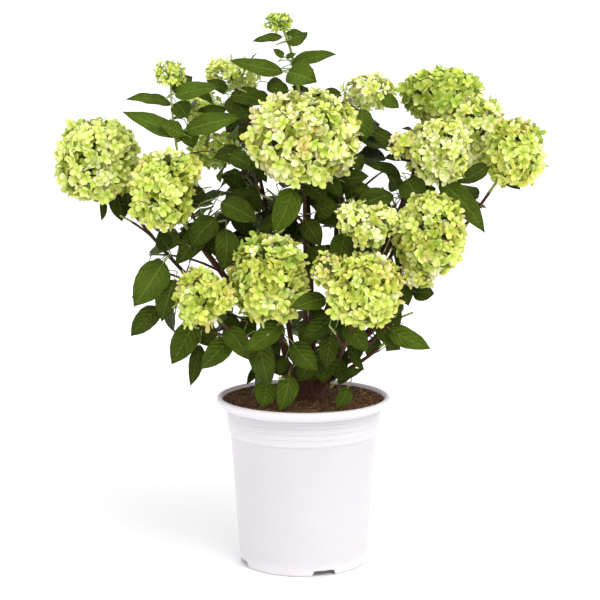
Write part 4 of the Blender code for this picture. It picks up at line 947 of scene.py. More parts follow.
@dataclass(frozen=True)
class LeafRule:
    """The sizes by which leaves stand on a shoot, and the plain blade that tests their place."""

    length: float = 0.078
    width_share: float = 0.58
    rib: float = 0.0011
    fold: float = 0.20
    stations: tuple[tuple[float, float, float], ...] = ((0.36, 0.36, 1.00), (0.34, 0.34, 0.78))
    tip_step: float = 0.30
    tip_curl: float = 0.40
    clear: float = 0.0009
    petiole: float = 0.011
    neck: float = 0.002
    petiole_radius: float = 0.0010
    stalk_faces: int = 4
    stalk_points: int = 6
    internode: float = 0.031
    tip_internode: float = 0.8
    first_node: float = 0.012
    last_node: float = 0.006
    head_reach: float = 0.9
    pair_sizes: tuple[float, ...] = (0.62, 0.90, 1.04, 1.06, 1.06, 1.04, 1.0)
    tries: int = 5
    shrink: float = 0.95
    faces: tuple[tuple[int, ...], ...] = (
        (2, 1, 0), (0, 1, 4, 3), (1, 2, 5, 4), (2, 0, 3, 5), (3, 4, 7), (3, 7, 6), (4, 8, 7), (5, 3, 6),
        (5, 6, 9), (5, 9, 8), (5, 8, 4), (6, 7, 11, 10), (7, 8, 12, 11), (8, 9, 13, 12), (9, 6, 10, 13),
        (10, 11, 14), (11, 12, 14), (12, 13, 14), (13, 10, 14))

    def blade(self, anchor: Vector, pose: Pose, extra: float = 0.0) -> list[Vector]:
        """Points of a plain blade on its stalk, as the solids have it.

        Args:
            anchor: where the stalk leaves the shoot's axis.
            pose: the stalk's direction, the upper side, the length and the curl.
            extra: how much thicker and wider it is made all round.

        Returns:
            Its points, the stalk's first.
        """
        along, face, length, curl = pose
        sideways = along.cross(face).normalized()
        face = sideways.cross(along).normalized()
        half_width = length * self.width_share / 2 + extra
        petiole = self.petiole_radius + extra
        thick = self.rib / 2 + extra
        rib = anchor + along * (self.petiole + self.neck)
        verts: list[Vector] = []
        for centre in (anchor, rib):
            top = face * petiole * 0.6
            verts += [centre + sideways * petiole + top, centre - sideways * petiole + top,
                      centre - face * petiole]
        direction, normal = along.copy(), face.copy()
        for step, bend, width in self.stations:
            turn = Matrix.Rotation(-curl * bend, 3, sideways)
            direction, normal = turn @ direction, turn @ normal
            rib = rib + direction * (length * step)
            edge = half_width * width
            lift = normal * edge * self.fold
            verts += [rib + sideways * edge + lift, rib + normal * thick,
                      rib - sideways * edge + lift, rib - normal * thick]
        turn = Matrix.Rotation(-curl * self.tip_curl, 3, sideways)
        verts.append(rib + (turn @ direction) * (length * self.tip_step + extra))
        return verts

    def solid(self, points: list[Vector]) -> Obstacle:
        """A blade with its stalk, to test for touching."""
        return Obstacle(points, self.faces)

    def bare(self, points: list[Vector]) -> Obstacle:
        """A blade without its stalk, to test for touching."""
        return Obstacle(points, self.faces[self.stalk_faces:])

    def pose(self, rng: random.Random, anchor: Vector, along: Vector, across: Vector, pair: int,
             length: float) -> Pose:
        """One way for a leaf to stand at its node.

        Args:
            rng: the cane's random numbers.
            anchor: the node.
            along: the shoot's direction there.
            across: the side the leaf leaves on.
            pair: how many pairs are younger than this one.
            length: the leaf's length.

        Returns:
            Its stalk's direction, its upper side, its length and its curl.
        """
        lift = math.radians(rng.uniform(10, 32))
        droop = rng.uniform(0.0, 0.30) + 0.08 * pair
        stalk = (across * math.cos(lift) + along * math.sin(lift) - UP * droop).normalized()
        outward = Vector((anchor.x, anchor.y, 0.0)).normalized()
        face = (along * 0.3 + UP * 0.5 + outward * 0.45 + SHOW_SIDE * 0.35
                + Vector((rng.uniform(-0.3, 0.3), rng.uniform(-0.3, 0.3), 0.0)))
        return stalk, face, length * rng.uniform(0.88, 1.14), math.radians(rng.uniform(18, 52))


@dataclass(frozen=True)
class Leaf:
    """A leaf that has its place: its node, its pose and how young it is, from 0 old to 1 young; for a listed
    leaf that number also holds painted light and shade, which darkens or freshens its green.
    """

    anchor: Vector
    pose: Pose
    youth_and_light: float
    spray: str
    breadth: float = 0.54


@dataclass
class Shoot:
    """A leafy shoot: its curve, the stretch that bears leaves, its heads and its leaves' sizes."""

    path: Path
    begin: float
    end: float
    heads: list[Head]
    pairs: int
    roll: float
    leaf: float


class Mass:
    """One foliage mass while it grows."""

    def __init__(self, plan: Cane) -> None:
        """Start a mass with its cane's plan and random numbers."""
        self.plan = plan
        self.rng = random.Random(plan.name)
        self.shoots: list[Shoot] = []
        self.stalks: list[Path] = []
        self.twigs: list[Path] = []
        self.leaves: list[Leaf] = []
        self.obstacles: list[Obstacle] = []

    @property
    def heads(self) -> list[Head]:
        """All the mass's flower heads."""
        return self.plan.heads + [bloom for shoot in self.plan.sides for bloom in shoot.heads]


@dataclass
class Shrub:
    """The whole shrub, grown by the rule of its solids and then carried on to finer twigs."""

    soil: bpy.types.Object
    head_rule: HeadRule = HeadRule()
    leaf_rule: LeafRule = LeafRule()
    stool_centre: tuple[float, float] = (0.008, 0.003)
    ground: float = 0.2185
    leg_radius: tuple[float, float] = (0.0078, 0.0052)
    leg_step: float = 0.030
    leg_sides: int = 6
    leg_sink: float = 0.007
    leg_start: float = 0.22
    leg_spread: float = 0.5
    stub_length: float = 0.026
    cane_radius: tuple[float, float] = (0.0035, 0.0017)
    cane_step: float = 0.036
    bough_sides: int = 6
    shoot_sides: int = 4
    twig_sides: int = 3
    side_radius: tuple[float, float] = (0.0018, 0.0013)
    branch_bare: float = 0.012
    lobe_fork: float = 0.86
    lobe_bend: float = 0.3
    rim_corners: int = 20
    tip_gap: float = 0.002
    node_shift: float = 0.003
    node_turn: float = 12.0
    ageing: float = 0.42
    tip_youth: float = 0.25
    fine_reach: Vector = field(default_factory=lambda: mm(6, 6, 6))
    fine_start: tuple[float, float] = (0.004, 0.012)
    fine_spacing: tuple[float, float] = (0.009, 0.017)
    fine_head_gap: float = 0.014
    fine_length: tuple[float, float] = (0.020, 0.042)
    fine_lean: tuple[float, float] = (20.0, 55.0)
    fine_rise: float = 0.12
    fine_radius: tuple[float, float] = (0.0010, 0.0006)
    fine_leaf: tuple[float, float] = (0.048, 0.072)
    fine_pairs: tuple[float, float] = (1.0, 0.5)
    fine_turn: float = 20.0
    fine_youth: tuple[float, float] = (0.05, 0.35)
    fine_core: float = 0.145
    fine_back: float = 0.05
    fine_top: float = 0.60
    fine_rare: float = 0.25
    near: float = 0.004
    eye: Vector = field(default_factory=lambda: mm(-4.5, -2500, 740))
    drawn_length: float = 0.88
    shown_curl: float = 0.42
    shown_lift: float = 0.68
    shown_feet: int = 24
    shortest_twig: float = 0.003
    hidden_ends: tuple[float, float] = (0.2, 0.8)
    hidden_width: float = 0.9
    masses: list[Mass] = field(default_factory=list)
    limbs: list[Obstacle] = field(default_factory=list)
    shapes: list[tuple[Vector, Vector, float, float]] = field(default_factory=list)
    blades: list[Obstacle] = field(default_factory=list)

    def leg_path(self, name: str) -> Path:
        """A woody leg of the stool, from inside its flare to its top."""
        top = LEGS[name]
        start = Vector((*self.stool_centre, self.ground + GAP + self.leg_sink))
        start += Vector((top.x - start.x, top.y - start.y, 0.0)) * self.leg_start
        return Path(start, bow(start, top, self.leg_spread), top, self.leg_radius)

    def cane_path(self, plan: Cane) -> Path:
        """A cane's whole curve, from its seat on a leg to its tip."""
        leg, tip = self.leg_path(plan.leg), end_of(plan)
        start, _ = leg.at(leg.length * plan.seat)
        return Path(start, bow(start, tip, plan.spread), tip, self.cane_radius)

    def side_path(self, path: Path, shoot: Side) -> Path:
        """A side shoot's curve, from its cane's axis to its head or its leafy tip.

        Args:
            path: its cane's curve.
            shoot: its plan.

        Returns:
            Its curve.
        """
        start, along = path.at(path.length * shoot.fork)
        tip = end_of(shoot)
        out = (tip - start).length
        control = start + (along + (tip - start).normalized()).normalized() * out * 0.5
        return Path(start, control, tip, self.side_radius)

    def bough_stretch(self, plan: Cane, path: Path) -> tuple[float, float]:
        """Where a cane's bare bough begins and ends, which are equal if it has none."""
        begin = self.stub_length + GAP
        return begin, max(begin, path.length * plan.share)

    def count(self) -> int:
        """How many leaves the shrub has."""
        return sum(len(mass.leaves) for mass in self.masses)

    def grow(self) -> None:
        """Grow the wood, then every mass's leaves, by the rule and in the order of the solids."""
        self.place_limbs()
        for plan in CANES + SKIRTS:
            path = self.cane_path(plan)
            begin, end = self.bough_stretch(plan, path)
            if end > begin:
                self.limbs.append(Obstacle(*path.limb(begin, end, self.bough_sides, self.cane_step)))
            self.masses.append(self.grow_wood(plan, path))
        heads = [bloom for mass in self.masses for bloom in mass.heads]
        for mass in self.masses:
            self.grow_leaves(mass, heads)
        LOG.info("grew %d leaves by the rule", self.count())
        self.place_shown()
        LOG.info("kept %d leaves with those set by hand", self.count())
        for mass in self.masses:
            self.grow_fine(mass, heads)
        LOG.info("carried on to %d leaves", self.count())

    def place_limbs(self) -> None:
        """Note the stool, the soil and the pot's wall, which leaves keep clear of."""
        for name in LEGS:
            leg = self.leg_path(name)
            self.limbs.append(Obstacle(*leg.limb(0.0, leg.length, self.leg_sides, self.leg_step)))
        for plan in CANES + SKIRTS:
            stub = self.cane_path(plan).limb(0.0, self.stub_length, self.bough_sides, self.stub_length)
            self.limbs.append(Obstacle(*stub))
        mesh, corners = self.soil.data, self.rim_corners
        self.limbs.append(Obstacle([vert.co.copy() for vert in mesh.vertices],
                                   [list(polygon.vertices) for polygon in mesh.polygons]))
        turns = [math.tau * k / corners for k in range(corners)]
        rim = [Vector((radius * math.cos(turn), radius * math.sin(turn), height))
               for radius, height in RIM_RINGS for turn in turns]
        self.limbs.append(Obstacle(rim, walls(len(RIM_RINGS), corners)))

    def grow_wood(self, plan: Cane, path: Path) -> Mass:
        """Start a mass with its main shoot, side shoots and flower heads.

        Args:
            plan: its cane's plan.
            path: its cane.

        Returns:
            The mass, with no leaves yet.
        """
        mass = Mass(plan)
        begin = max(path.length * plan.share, self.stub_length) + GAP
        solids = [path.limb(begin, path.length, self.shoot_sides, self.cane_step)]
        mass.shoots.append(Shoot(path, begin, path.length, plan.heads, plan.pairs, plan.roll, plan.leaf))
        solids += [self.head_rule.ball(bloom, mass.rng) for bloom in plan.heads]
        for bloom in plan.heads[1:]:
            fork, _ = path.at(path.length * self.lobe_fork)
            control = bloom.centre.lerp(end_of(plan), self.lobe_bend)
            stalk = Path(fork, control, bloom.centre, self.side_radius)
            solids.append(stalk.limb(0.0, stalk.length, self.twig_sides, self.cane_step))
            mass.stalks.append(stalk)
        for shoot in plan.sides:
            branch = self.side_path(path, shoot)
            solids.append(branch.limb(0.0, branch.length, self.twig_sides, self.cane_step))
            mass.shoots.append(Shoot(branch, self.branch_bare, branch.length, shoot.heads, shoot.pairs,
                                     shoot.roll, shoot.leaf))
            solids += [self.head_rule.ball(bloom, mass.rng) for bloom in shoot.heads]
        mass.obstacles += [Obstacle(*solid) for solid in solids]
        return mass

    def leaf_places(self, mass: Mass, shoot: Shoot) -> Iterator[tuple[Vector, Vector, Vector, int, float]]:
        """Opposite pairs down a shoot, each pair a quarter turn from the last.

        Args:
            mass: the mass, whose random numbers shift the pairs a little.
            shoot: the shoot.

        Yields:
            The node, the shoot's direction, the leaf's side, the pair's number and the leaf's length.
        """
        rule, rng = self.leaf_rule, mass.rng
        top = shoot.end - (shoot.heads[0].high * rule.head_reach + rule.first_node if shoot.heads
                           else self.tip_gap)
        for pair in range(shoot.pairs):
            spacing = rule.internode * (rule.tip_internode if pair < 2 else 1.0)
            distance = top - spacing * pair + rng.uniform(-self.node_shift, self.node_shift)
            turn = math.radians(shoot.roll + 90.0 * pair + rng.uniform(-self.node_turn, self.node_turn))
            grown = shoot.leaf * rule.pair_sizes[min(pair, len(rule.pair_sizes) - 1)]
            if distance < shoot.begin + rule.last_node:
                return
            anchor, along = shoot.path.at(distance)
            across = Matrix.Rotation(turn, 3, along) @ first_side(along, Vector((0.0, 1.0, 0.0)))
            for hand in (1.0, -1.0):
                yield anchor, along, across * hand, pair, rule.length * grown

    def grow_leaves(self, mass: Mass, heads: list[Head]) -> None:
        """Give a mass its leaves, skipping one that would touch a solid or hide a flower head.

        Args:
            mass: the mass.
            heads: all the shrub's flower heads.
        """
        rule = self.leaf_rule
        others = [tree for other in self.masses if other is not mass for tree in other.obstacles]
        others += self.limbs
        own: list[Obstacle] = []
        for index, shoot in enumerate(mass.shoots):
            for anchor, along, across, pair, length in self.leaf_places(mass, shoot):
                for attempt in range(rule.tries):
                    pose = rule.pose(mass.rng, anchor, along, across, pair, length * rule.shrink ** attempt)
                    blade = rule.blade(anchor, pose)
                    if self.head_rule.blocks(blade[rule.stalk_points:], heads):
                        continue
                    roomy = rule.blade(anchor, pose, rule.clear)
                    whole, bare = rule.solid(roomy), rule.bare(roomy)
                    if any(map(whole.touches, others)) or any(map(bare.touches, own)):
                        continue
                    own.append(rule.bare(blade))
                    mass.obstacles.append(rule.solid(blade))
                    youth_and_light = max(0.0, 1.0 - self.ageing * pair) if shoot.heads else self.tip_youth
                    mass.leaves.append(Leaf(anchor, pose, youth_and_light, f"{mass.plan.name}_{index}"))
                    break

    def seen(self, point: Vector) -> Vector:
        """Where a point is seen from the show side, on the plane through the pot's centre."""
        way = point - self.eye
        return self.eye + way * (-self.eye.y / way.y)

    def place_shown(self) -> None:
        """Set the listed leaves on twigs, and clear rule leaves that would cross or hide them."""
        rule = self.leaf_rule
        grown: list[tuple[Mass, Leaf, Path]] = []
        masses = {mass.plan.name: mass for mass in self.masses}
        feet = [shoot.path.at(shoot.begin + (shoot.end - shoot.begin) * k / self.shown_feet)[0]
                for mass in self.masses for shoot in mass.shoots for k in range(self.shown_feet + 1)]
        for number, plan in enumerate(SHOWN):
            face = SHOW_SIDE + Vector((plan.aside, 0.0, plan.above))
            chord = plan.tip - plan.foot
            sideways = chord.cross(face).normalized()
            along = Matrix.Rotation(self.shown_curl * self.shown_lift, 3, sideways) @ chord.normalized()
            anchor = plan.foot - along * (rule.petiole + rule.neck)
            foot = min(feet, key=lambda place: (place - anchor).length)
            middle = foot.lerp(anchor, 0.5) + UP * (foot - anchor).length * self.fine_rise
            pose = (along, face, chord.length, self.shown_curl)
            leaf = Leaf(anchor, pose, plan.youth_and_light, f"{plan.mass}_shown_{number}", plan.breadth)
            grown.append((masses[plan.mass], leaf, Path(foot, middle, anchor, self.fine_radius)))
            self.shapes.append((self.seen(plan.foot), self.seen(plan.tip), chord.length * plan.breadth / 2,
                                max(plan.foot.y, plan.tip.y)))
            self.blades.append(rule.bare(rule.blade(anchor, pose)))
        for mass in self.masses:
            solids = len(mass.obstacles) - len(mass.leaves)
            mass.leaves = [leaf for leaf in map(self.drawn, mass.leaves) if self.open_to(leaf)]
            mass.obstacles = mass.obstacles[:solids] + [
                rule.solid(rule.blade(leaf.anchor, leaf.pose)) for leaf in mass.leaves]
        for mass, leaf, twig in grown:
            mass.leaves.append(leaf)
            if twig.length > self.shortest_twig:
                mass.twigs.append(twig)

    def drawn(self, leaf: Leaf) -> Leaf:
        """A rule leaf at the size its blade is drawn."""
        along, face, length, curl = leaf.pose
        return replace(leaf, pose=(along, face, length * self.drawn_length, curl))

    def clear(self, spot: Vector) -> bool:
        """Whether a place, already as the eye sees it, lies in one of the openings."""
        return any(((spot.x * 1000.0 - x) / wide) ** 2 + ((spot.z * 1000.0 - z) / high) ** 2 < 1.0
                   for x, z, wide, high in OPENINGS)

    def open_to(self, leaf: Leaf) -> bool:
        """Whether a leaf keeps out of the openings and neither crosses nor hides a listed leaf.

        Args:
            leaf: the leaf.

        Returns:
            Whether it may stand.
        """
        blade = self.leaf_rule.blade(leaf.anchor, leaf.pose)
        for point in blade[self.leaf_rule.stalk_points:]:
            spot = self.seen(point)
            if self.clear(spot):
                return False
            for foot, tip, half, depth in self.shapes:
                if point.y < depth + self.near:
                    along = tip - foot
                    low, high = self.hidden_ends
                    share = min(max((spot - foot).dot(along) / along.length_squared, low), high)
                    if (foot + along * share - spot).length < half * self.hidden_width:
                        return False
        return not any(map(self.leaf_rule.bare(blade).touches, self.blades))

    def grow_fine(self, mass: Mass, heads: list[Head]) -> None:
        """Carry a mass on to fine twigs with smaller leaves, within the reach of its solid.

        Args:
            mass: the mass, with its rule leaves in place.
            heads: all the shrub's flower heads.
        """
        rng = random.Random(mass.plan.name + "_fine")
        low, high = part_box("foliage_" + mass.plan.name)
        low, high = Vector(low) - self.fine_reach, Vector(high) + self.fine_reach
        others = self.limbs + self.blades + [tree for other in self.masses for tree in other.obstacles]
        for index, shoot in enumerate(mass.shoots):
            top = shoot.end - (shoot.heads[0].high + self.fine_head_gap if shoot.heads else self.near)
            distance = shoot.begin + rng.uniform(*self.fine_start)
            while distance < top:
                twig = self.fine_twig(rng, shoot.path, distance)
                distance += rng.uniform(*self.fine_spacing)
                foot = twig.points[0]
                if self.clear(self.seen(twig.at(twig.length / 2)[0])):
                    continue
                sparse = math.hypot(foot.x, foot.y) > self.fine_core or foot.y > self.fine_back
                if foot.z > self.fine_top or (sparse and rng.random() > self.fine_rare):
                    continue
                spray = f"{mass.plan.name}_{index}_{len(mass.twigs)}"
                grown = [leaf for leaf in self.twig_leaves(rng, twig, shoot.leaf, spray)
                         if self.fits(leaf, low, high, heads, others)]
                if any((leaf.anchor - twig.points[-1]).length < self.near for leaf in grown):
                    mass.twigs.append(twig)
                    mass.leaves += grown

    def fine_twig(self, rng: random.Random, path: Path, distance: float) -> Path:
        """A fine twig from a node of a shoot.

        Args:
            rng: random numbers.
            path: the shoot.
            distance: where it leaves the shoot.

        Returns:
            The twig's curve.
        """
        anchor, along = path.at(distance)
        first = first_side(along, Vector((0.0, 1.0, 0.0)))
        across = Matrix.Rotation(rng.uniform(0.0, math.tau), 3, along) @ first
        lean = math.radians(rng.uniform(*self.fine_lean))
        out = across * math.cos(lean) + along * math.sin(lean)
        length = rng.uniform(*self.fine_length)
        tip = anchor + out * length + UP * length * self.fine_rise
        return Path(anchor, anchor + across * length * 0.5, tip, self.fine_radius)

    def twig_leaves(self, rng: random.Random, twig: Path, size: float, spray: str) -> Iterator[Leaf]:
        """The pair of leaves at a fine twig's tip and the smaller pair below it.

        Args:
            rng: random numbers.
            twig: the twig.
            size: size of the shoot's leaves.
            spray: the name its leaves share.

        Yields:
            Leaves that still need a free place.
        """
        for pair, share in enumerate(self.fine_pairs):
            anchor, along = twig.at(twig.length * share)
            turn = math.radians(90.0 * pair + rng.uniform(-self.fine_turn, self.fine_turn))
            across = Matrix.Rotation(turn, 3, along) @ first_side(along, UP)
            for hand in (1.0, -1.0):
                length = rng.uniform(*self.fine_leaf) * size
                pose = self.leaf_rule.pose(rng, anchor, along, across * hand, 1, length)
                yield Leaf(anchor, pose, rng.uniform(*self.fine_youth), spray)

    def fits(self, leaf: Leaf, low: Vector, high: Vector, heads: list[Head],
             others: list[Obstacle]) -> bool:
        """Whether a leaf keeps within its mass and touches nothing, and if so note it.

        Args:
            leaf: the leaf.
            low: lowest corner it may reach.
            high: highest corner it may reach.
            heads: all the shrub's flower heads.
            others: everything it keeps clear of, to which it is added.

        Returns:
            Whether it may stay.
        """
        rule = self.leaf_rule
        blade = rule.blade(leaf.anchor, leaf.pose)
        outline = blade[rule.stalk_points:]
        if any(point[i] < low[i] or point[i] > high[i] for point in outline for i in range(3)):
            return False
        tree = rule.bare(blade)
        if self.head_rule.blocks(outline, heads) or not self.open_to(leaf) or any(map(tree.touches, others)):
            return False
        others.append(tree)
        return True


# ------------------------------------------------------------------ joined meshes
class Batch:
    """Small things of one kind, gathered as arrays and joined into meshes of bounded size."""

    LIMIT = 180_000

    def __init__(self, name: str, finishes: tuple[Finish, ...]) -> None:
        """Start an empty batch with its name and the finishes its faces may take."""
        self.name = name
        self.finishes = finishes
        self.parts: list[tuple[np.ndarray, ...]] = []

    def add(self, points: np.ndarray, faces: np.ndarray, tints: int | np.ndarray,
            places: np.ndarray | None = None) -> None:
        """Take a shape into the batch.

        Args:
            points: its points, one in each row.
            faces: its faces, four corners in each row, the last of them -1 in a triangle.
            tints: the finish of the shape, or of each face.
            places: the texture coordinates of each point.
        """
        tints = np.broadcast_to(np.asarray(tints, dtype=np.int32), (len(faces),))
        places = np.zeros((len(points), 2)) if places is None else places
        self.parts.append((points, faces, tints, places))

    def add_copies(self, points: np.ndarray, faces: np.ndarray, tints: np.ndarray,
                   places: np.ndarray | None = None) -> None:
        """Take many copies of one shape.

        Args:
            points: the points of every copy, as copies x points x 3.
            faces: the faces of one copy.
            tints: the finish of each copy, or of each face of each copy.
            places: the texture coordinates of one copy's points.
        """
        step = max(1, self.LIMIT // (4 * len(faces)))
        count = points.shape[1]
        tints = np.broadcast_to(tints.reshape(len(points), -1), (len(points), len(faces)))
        for first in range(0, len(points), step):
            some = points[first:first + step]
            shift = (np.arange(len(some)) * count)[:, None, None]
            shifted = np.where(faces[None] < 0, -1, faces[None] + shift).reshape(-1, 4)
            spread = None if places is None else np.tile(places, (len(some), 1))
            self.add(some.reshape(-1, 3), shifted, tints[first:first + step].reshape(-1), spread)

    def join(self, slot: str, nodes: list[str]) -> None:
        """Join what was gathered into pieces that each stay under the limit, and settle them.

        Args:
            slot: the record's material slot, not used.
            nodes: the solids they stand for.
        """
        groups: list[list[tuple[np.ndarray, ...]]] = []
        weight = 0
        for part in self.parts:
            triangles = int((part[1] >= 0).sum()) - 2 * len(part[1])
            if not groups or weight + triangles > self.LIMIT:
                groups.append([])
                weight = 0
            groups[-1].append(part)
            weight += triangles
        for number, group in enumerate(groups, 1):
            settle(self.mesh(f"{self.name}_{number}", group), nodes)
        LOG.info("%s: %d pieces", self.name, len(groups))

    def mesh(self, name: str, parts: list[tuple[np.ndarray, ...]]) -> bpy.types.Object:
        """One joined mesh.

        Args:
            name: the piece's name.
            parts: the shapes that go into it.

        Returns:
            The piece.
        """
        starts = np.cumsum([0] + [len(part[0]) for part in parts[:-1]])
        points, tints, places = (np.concatenate([part[i] for part in parts]) for i in (0, 2, 3))
        faces = np.concatenate([np.where(part[1] < 0, -1, part[1] + start)
                                for part, start in zip(parts, starts)])
        corners = faces[faces >= 0]
        totals = (faces >= 0).sum(axis=1)
        mesh = bpy.data.meshes.new(name)
        mesh.vertices.add(len(points))
        mesh.vertices.foreach_set("co", points.astype(np.float32).ravel())
        mesh.loops.add(len(corners))
        mesh.loops.foreach_set("vertex_index", corners.astype(np.int32))
        mesh.polygons.add(len(faces))
        mesh.polygons.foreach_set("loop_start", (np.cumsum(totals) - totals).astype(np.int32))
        mesh.polygons.foreach_set("material_index", tints)
        mesh.polygons.foreach_set("use_smooth", np.ones(len(faces), dtype=bool))
        layer = mesh.uv_layers.new(name="UVMap")
        layer.data.foreach_set("uv", places[corners].astype(np.float32).ravel())
        for finish in self.finishes:
            mesh.materials.append(finish.material())
        mesh.update(calc_edges=True)
        mesh.validate()
        piece = bpy.data.objects.new(name, mesh)
        bpy.context.collection.objects.link(piece)
        return piece


def closed_walls(rings: int, sides: int) -> np.ndarray:
    """Faces between rings of points, and fans to two end points that follow them.

    Args:
        rings: how many rings there are.
        sides: how many points each has.

    Returns:
        Four corners in each row, the last of them -1 in a triangle.
    """
    k = np.arange(sides)
    after, none, foot, last = (k + 1) % sides, np.full(sides, -1), rings * sides, (rings - 1) * sides
    return np.concatenate([walls(rings, sides), np.stack([np.full(sides, foot), after, k, none], axis=1),
                           np.stack([np.full(sides, foot + 1), last + k, last + after, none], axis=1)])


def turned_tube(points: np.ndarray, radii: np.ndarray, sides: int) -> tuple[np.ndarray, np.ndarray]:
    """A round limb with closed ends, for a batch.

    Args:
        points: its centre line, one point in each row.
        radii: its radius at each point.
        sides: how many sides it has.

    Returns:
        Its points and its faces, four corners in each row.
    """
    along = np.gradient(points, axis=0)
    along /= np.linalg.norm(along, axis=1)[:, None]
    across = np.array(frames([Vector(row) for row in along]))
    angles = math.tau * np.arange(sides) / sides
    circle = (np.cos(angles)[None, :, None] * across[:, 0][:, None]
              + np.sin(angles)[None, :, None] * across[:, 1][:, None])
    rings = points[:, None] + radii[:, None, None] * circle
    ends = np.stack([points[0] - along[0] * radii[0] * 0.4, points[-1] + along[-1] * radii[-1] * 0.6])
    return np.concatenate([rings.reshape(-1, 3), ends]), closed_walls(len(points), sides)


def settle(piece: bpy.types.Object, nodes: list[str]) -> None:
    """Let a piece ride on the shrub and stand for its solids.

    Args:
        piece: the piece, in place.
        nodes: the solids it stands for.
    """
    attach(piece, BODY)
    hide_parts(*nodes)


# ------------------------------------------------------------------ shaping by hand
LUMP = np.array([(1, 0, 0), (-1, 0, 0), (0, 1, 0), (0, -1, 0), (0, 0, 1), (0, 0, -1)], dtype=float)
LUMP_FACES = np.array([(0, 2, 4, -1), (2, 1, 4, -1), (1, 3, 4, -1), (3, 0, 4, -1),
                       (2, 0, 5, -1), (1, 2, 5, -1), (3, 1, 5, -1), (0, 3, 5, -1)])


def pick(*pieces: bpy.types.Object) -> None:
    """Select some pieces alone and make the last of them active."""
    bpy.ops.object.select_all(action="DESELECT")
    for piece in pieces:
        piece.select_set(True)
        bpy.context.view_layer.objects.active = piece


def shape(piece: bpy.types.Object, kind: str, **settings: object) -> None:
    """Shape a piece with a modifier.

    Args:
        piece: the piece.
        kind: the modifier's type.
        settings: its settings.
    """
    pick(piece)
    modifier = piece.modifiers.new(kind.lower(), kind)
    for name, value in settings.items():
        setattr(modifier, name, value)
    bpy.ops.object.modifier_apply(modifier=modifier.name)


def dress(piece: bpy.types.Object, finish: Finish, nodes: list[str],
          crease: float | None = None) -> None:
    """Smooth a piece, give it its finish and settle it.

    Args:
        piece: the piece, in place.
        finish: its finish.
        nodes: the solids it stands for.
        crease: the angle in degrees over which an edge stays sharp, if any does.
    """
    pick(piece)
    if crease is None:
        bpy.ops.object.shade_smooth()
    else:
        bpy.ops.object.shade_smooth_by_angle(angle=math.radians(crease))
    piece.data.materials.clear()
    piece.data.materials.append(finish.material())
    settle(piece, nodes)


def turned(name: str, profile: tuple[tuple[float, float], ...], corners: int) -> bpy.types.Object:
    """A turned piece: a filled circle drawn up ring by ring and filled again at its end.

    Args:
        name: the piece's name.
        profile: radius and height of each ring.
        corners: corners in each ring.

    Returns:
        The closed piece.
    """
    radius, height = profile[0]
    bpy.ops.object.select_all(action="DESELECT")
    bpy.ops.mesh.primitive_circle_add(vertices=corners, radius=radius, fill_type="TRIFAN",
                                      location=(0.0, 0.0, 0.0))
    piece = bpy.context.active_object
    piece.name = piece.data.name = name
    bpy.ops.object.mode_set(mode="EDIT")
    bpy.ops.mesh.select_all(action="SELECT")
    bpy.ops.transform.translate(value=(0.0, 0.0, height))
    bpy.ops.mesh.region_to_loop()
    for wider, higher in profile[1:]:
        bpy.ops.mesh.extrude_edges_move()
        scale = wider / radius
        bpy.ops.transform.resize(value=(scale, scale, 1.0), center_override=(0.0, 0.0, 0.0))
        bpy.ops.transform.translate(value=(0.0, 0.0, higher - height))
        radius, height = wider, higher
    bpy.ops.mesh.edge_face_add()
    bpy.ops.mesh.poke()
    bpy.ops.mesh.select_all(action="SELECT")
    bpy.ops.mesh.normals_make_consistent(inside=False)
    bpy.ops.object.mode_set(mode="OBJECT")
    return piece


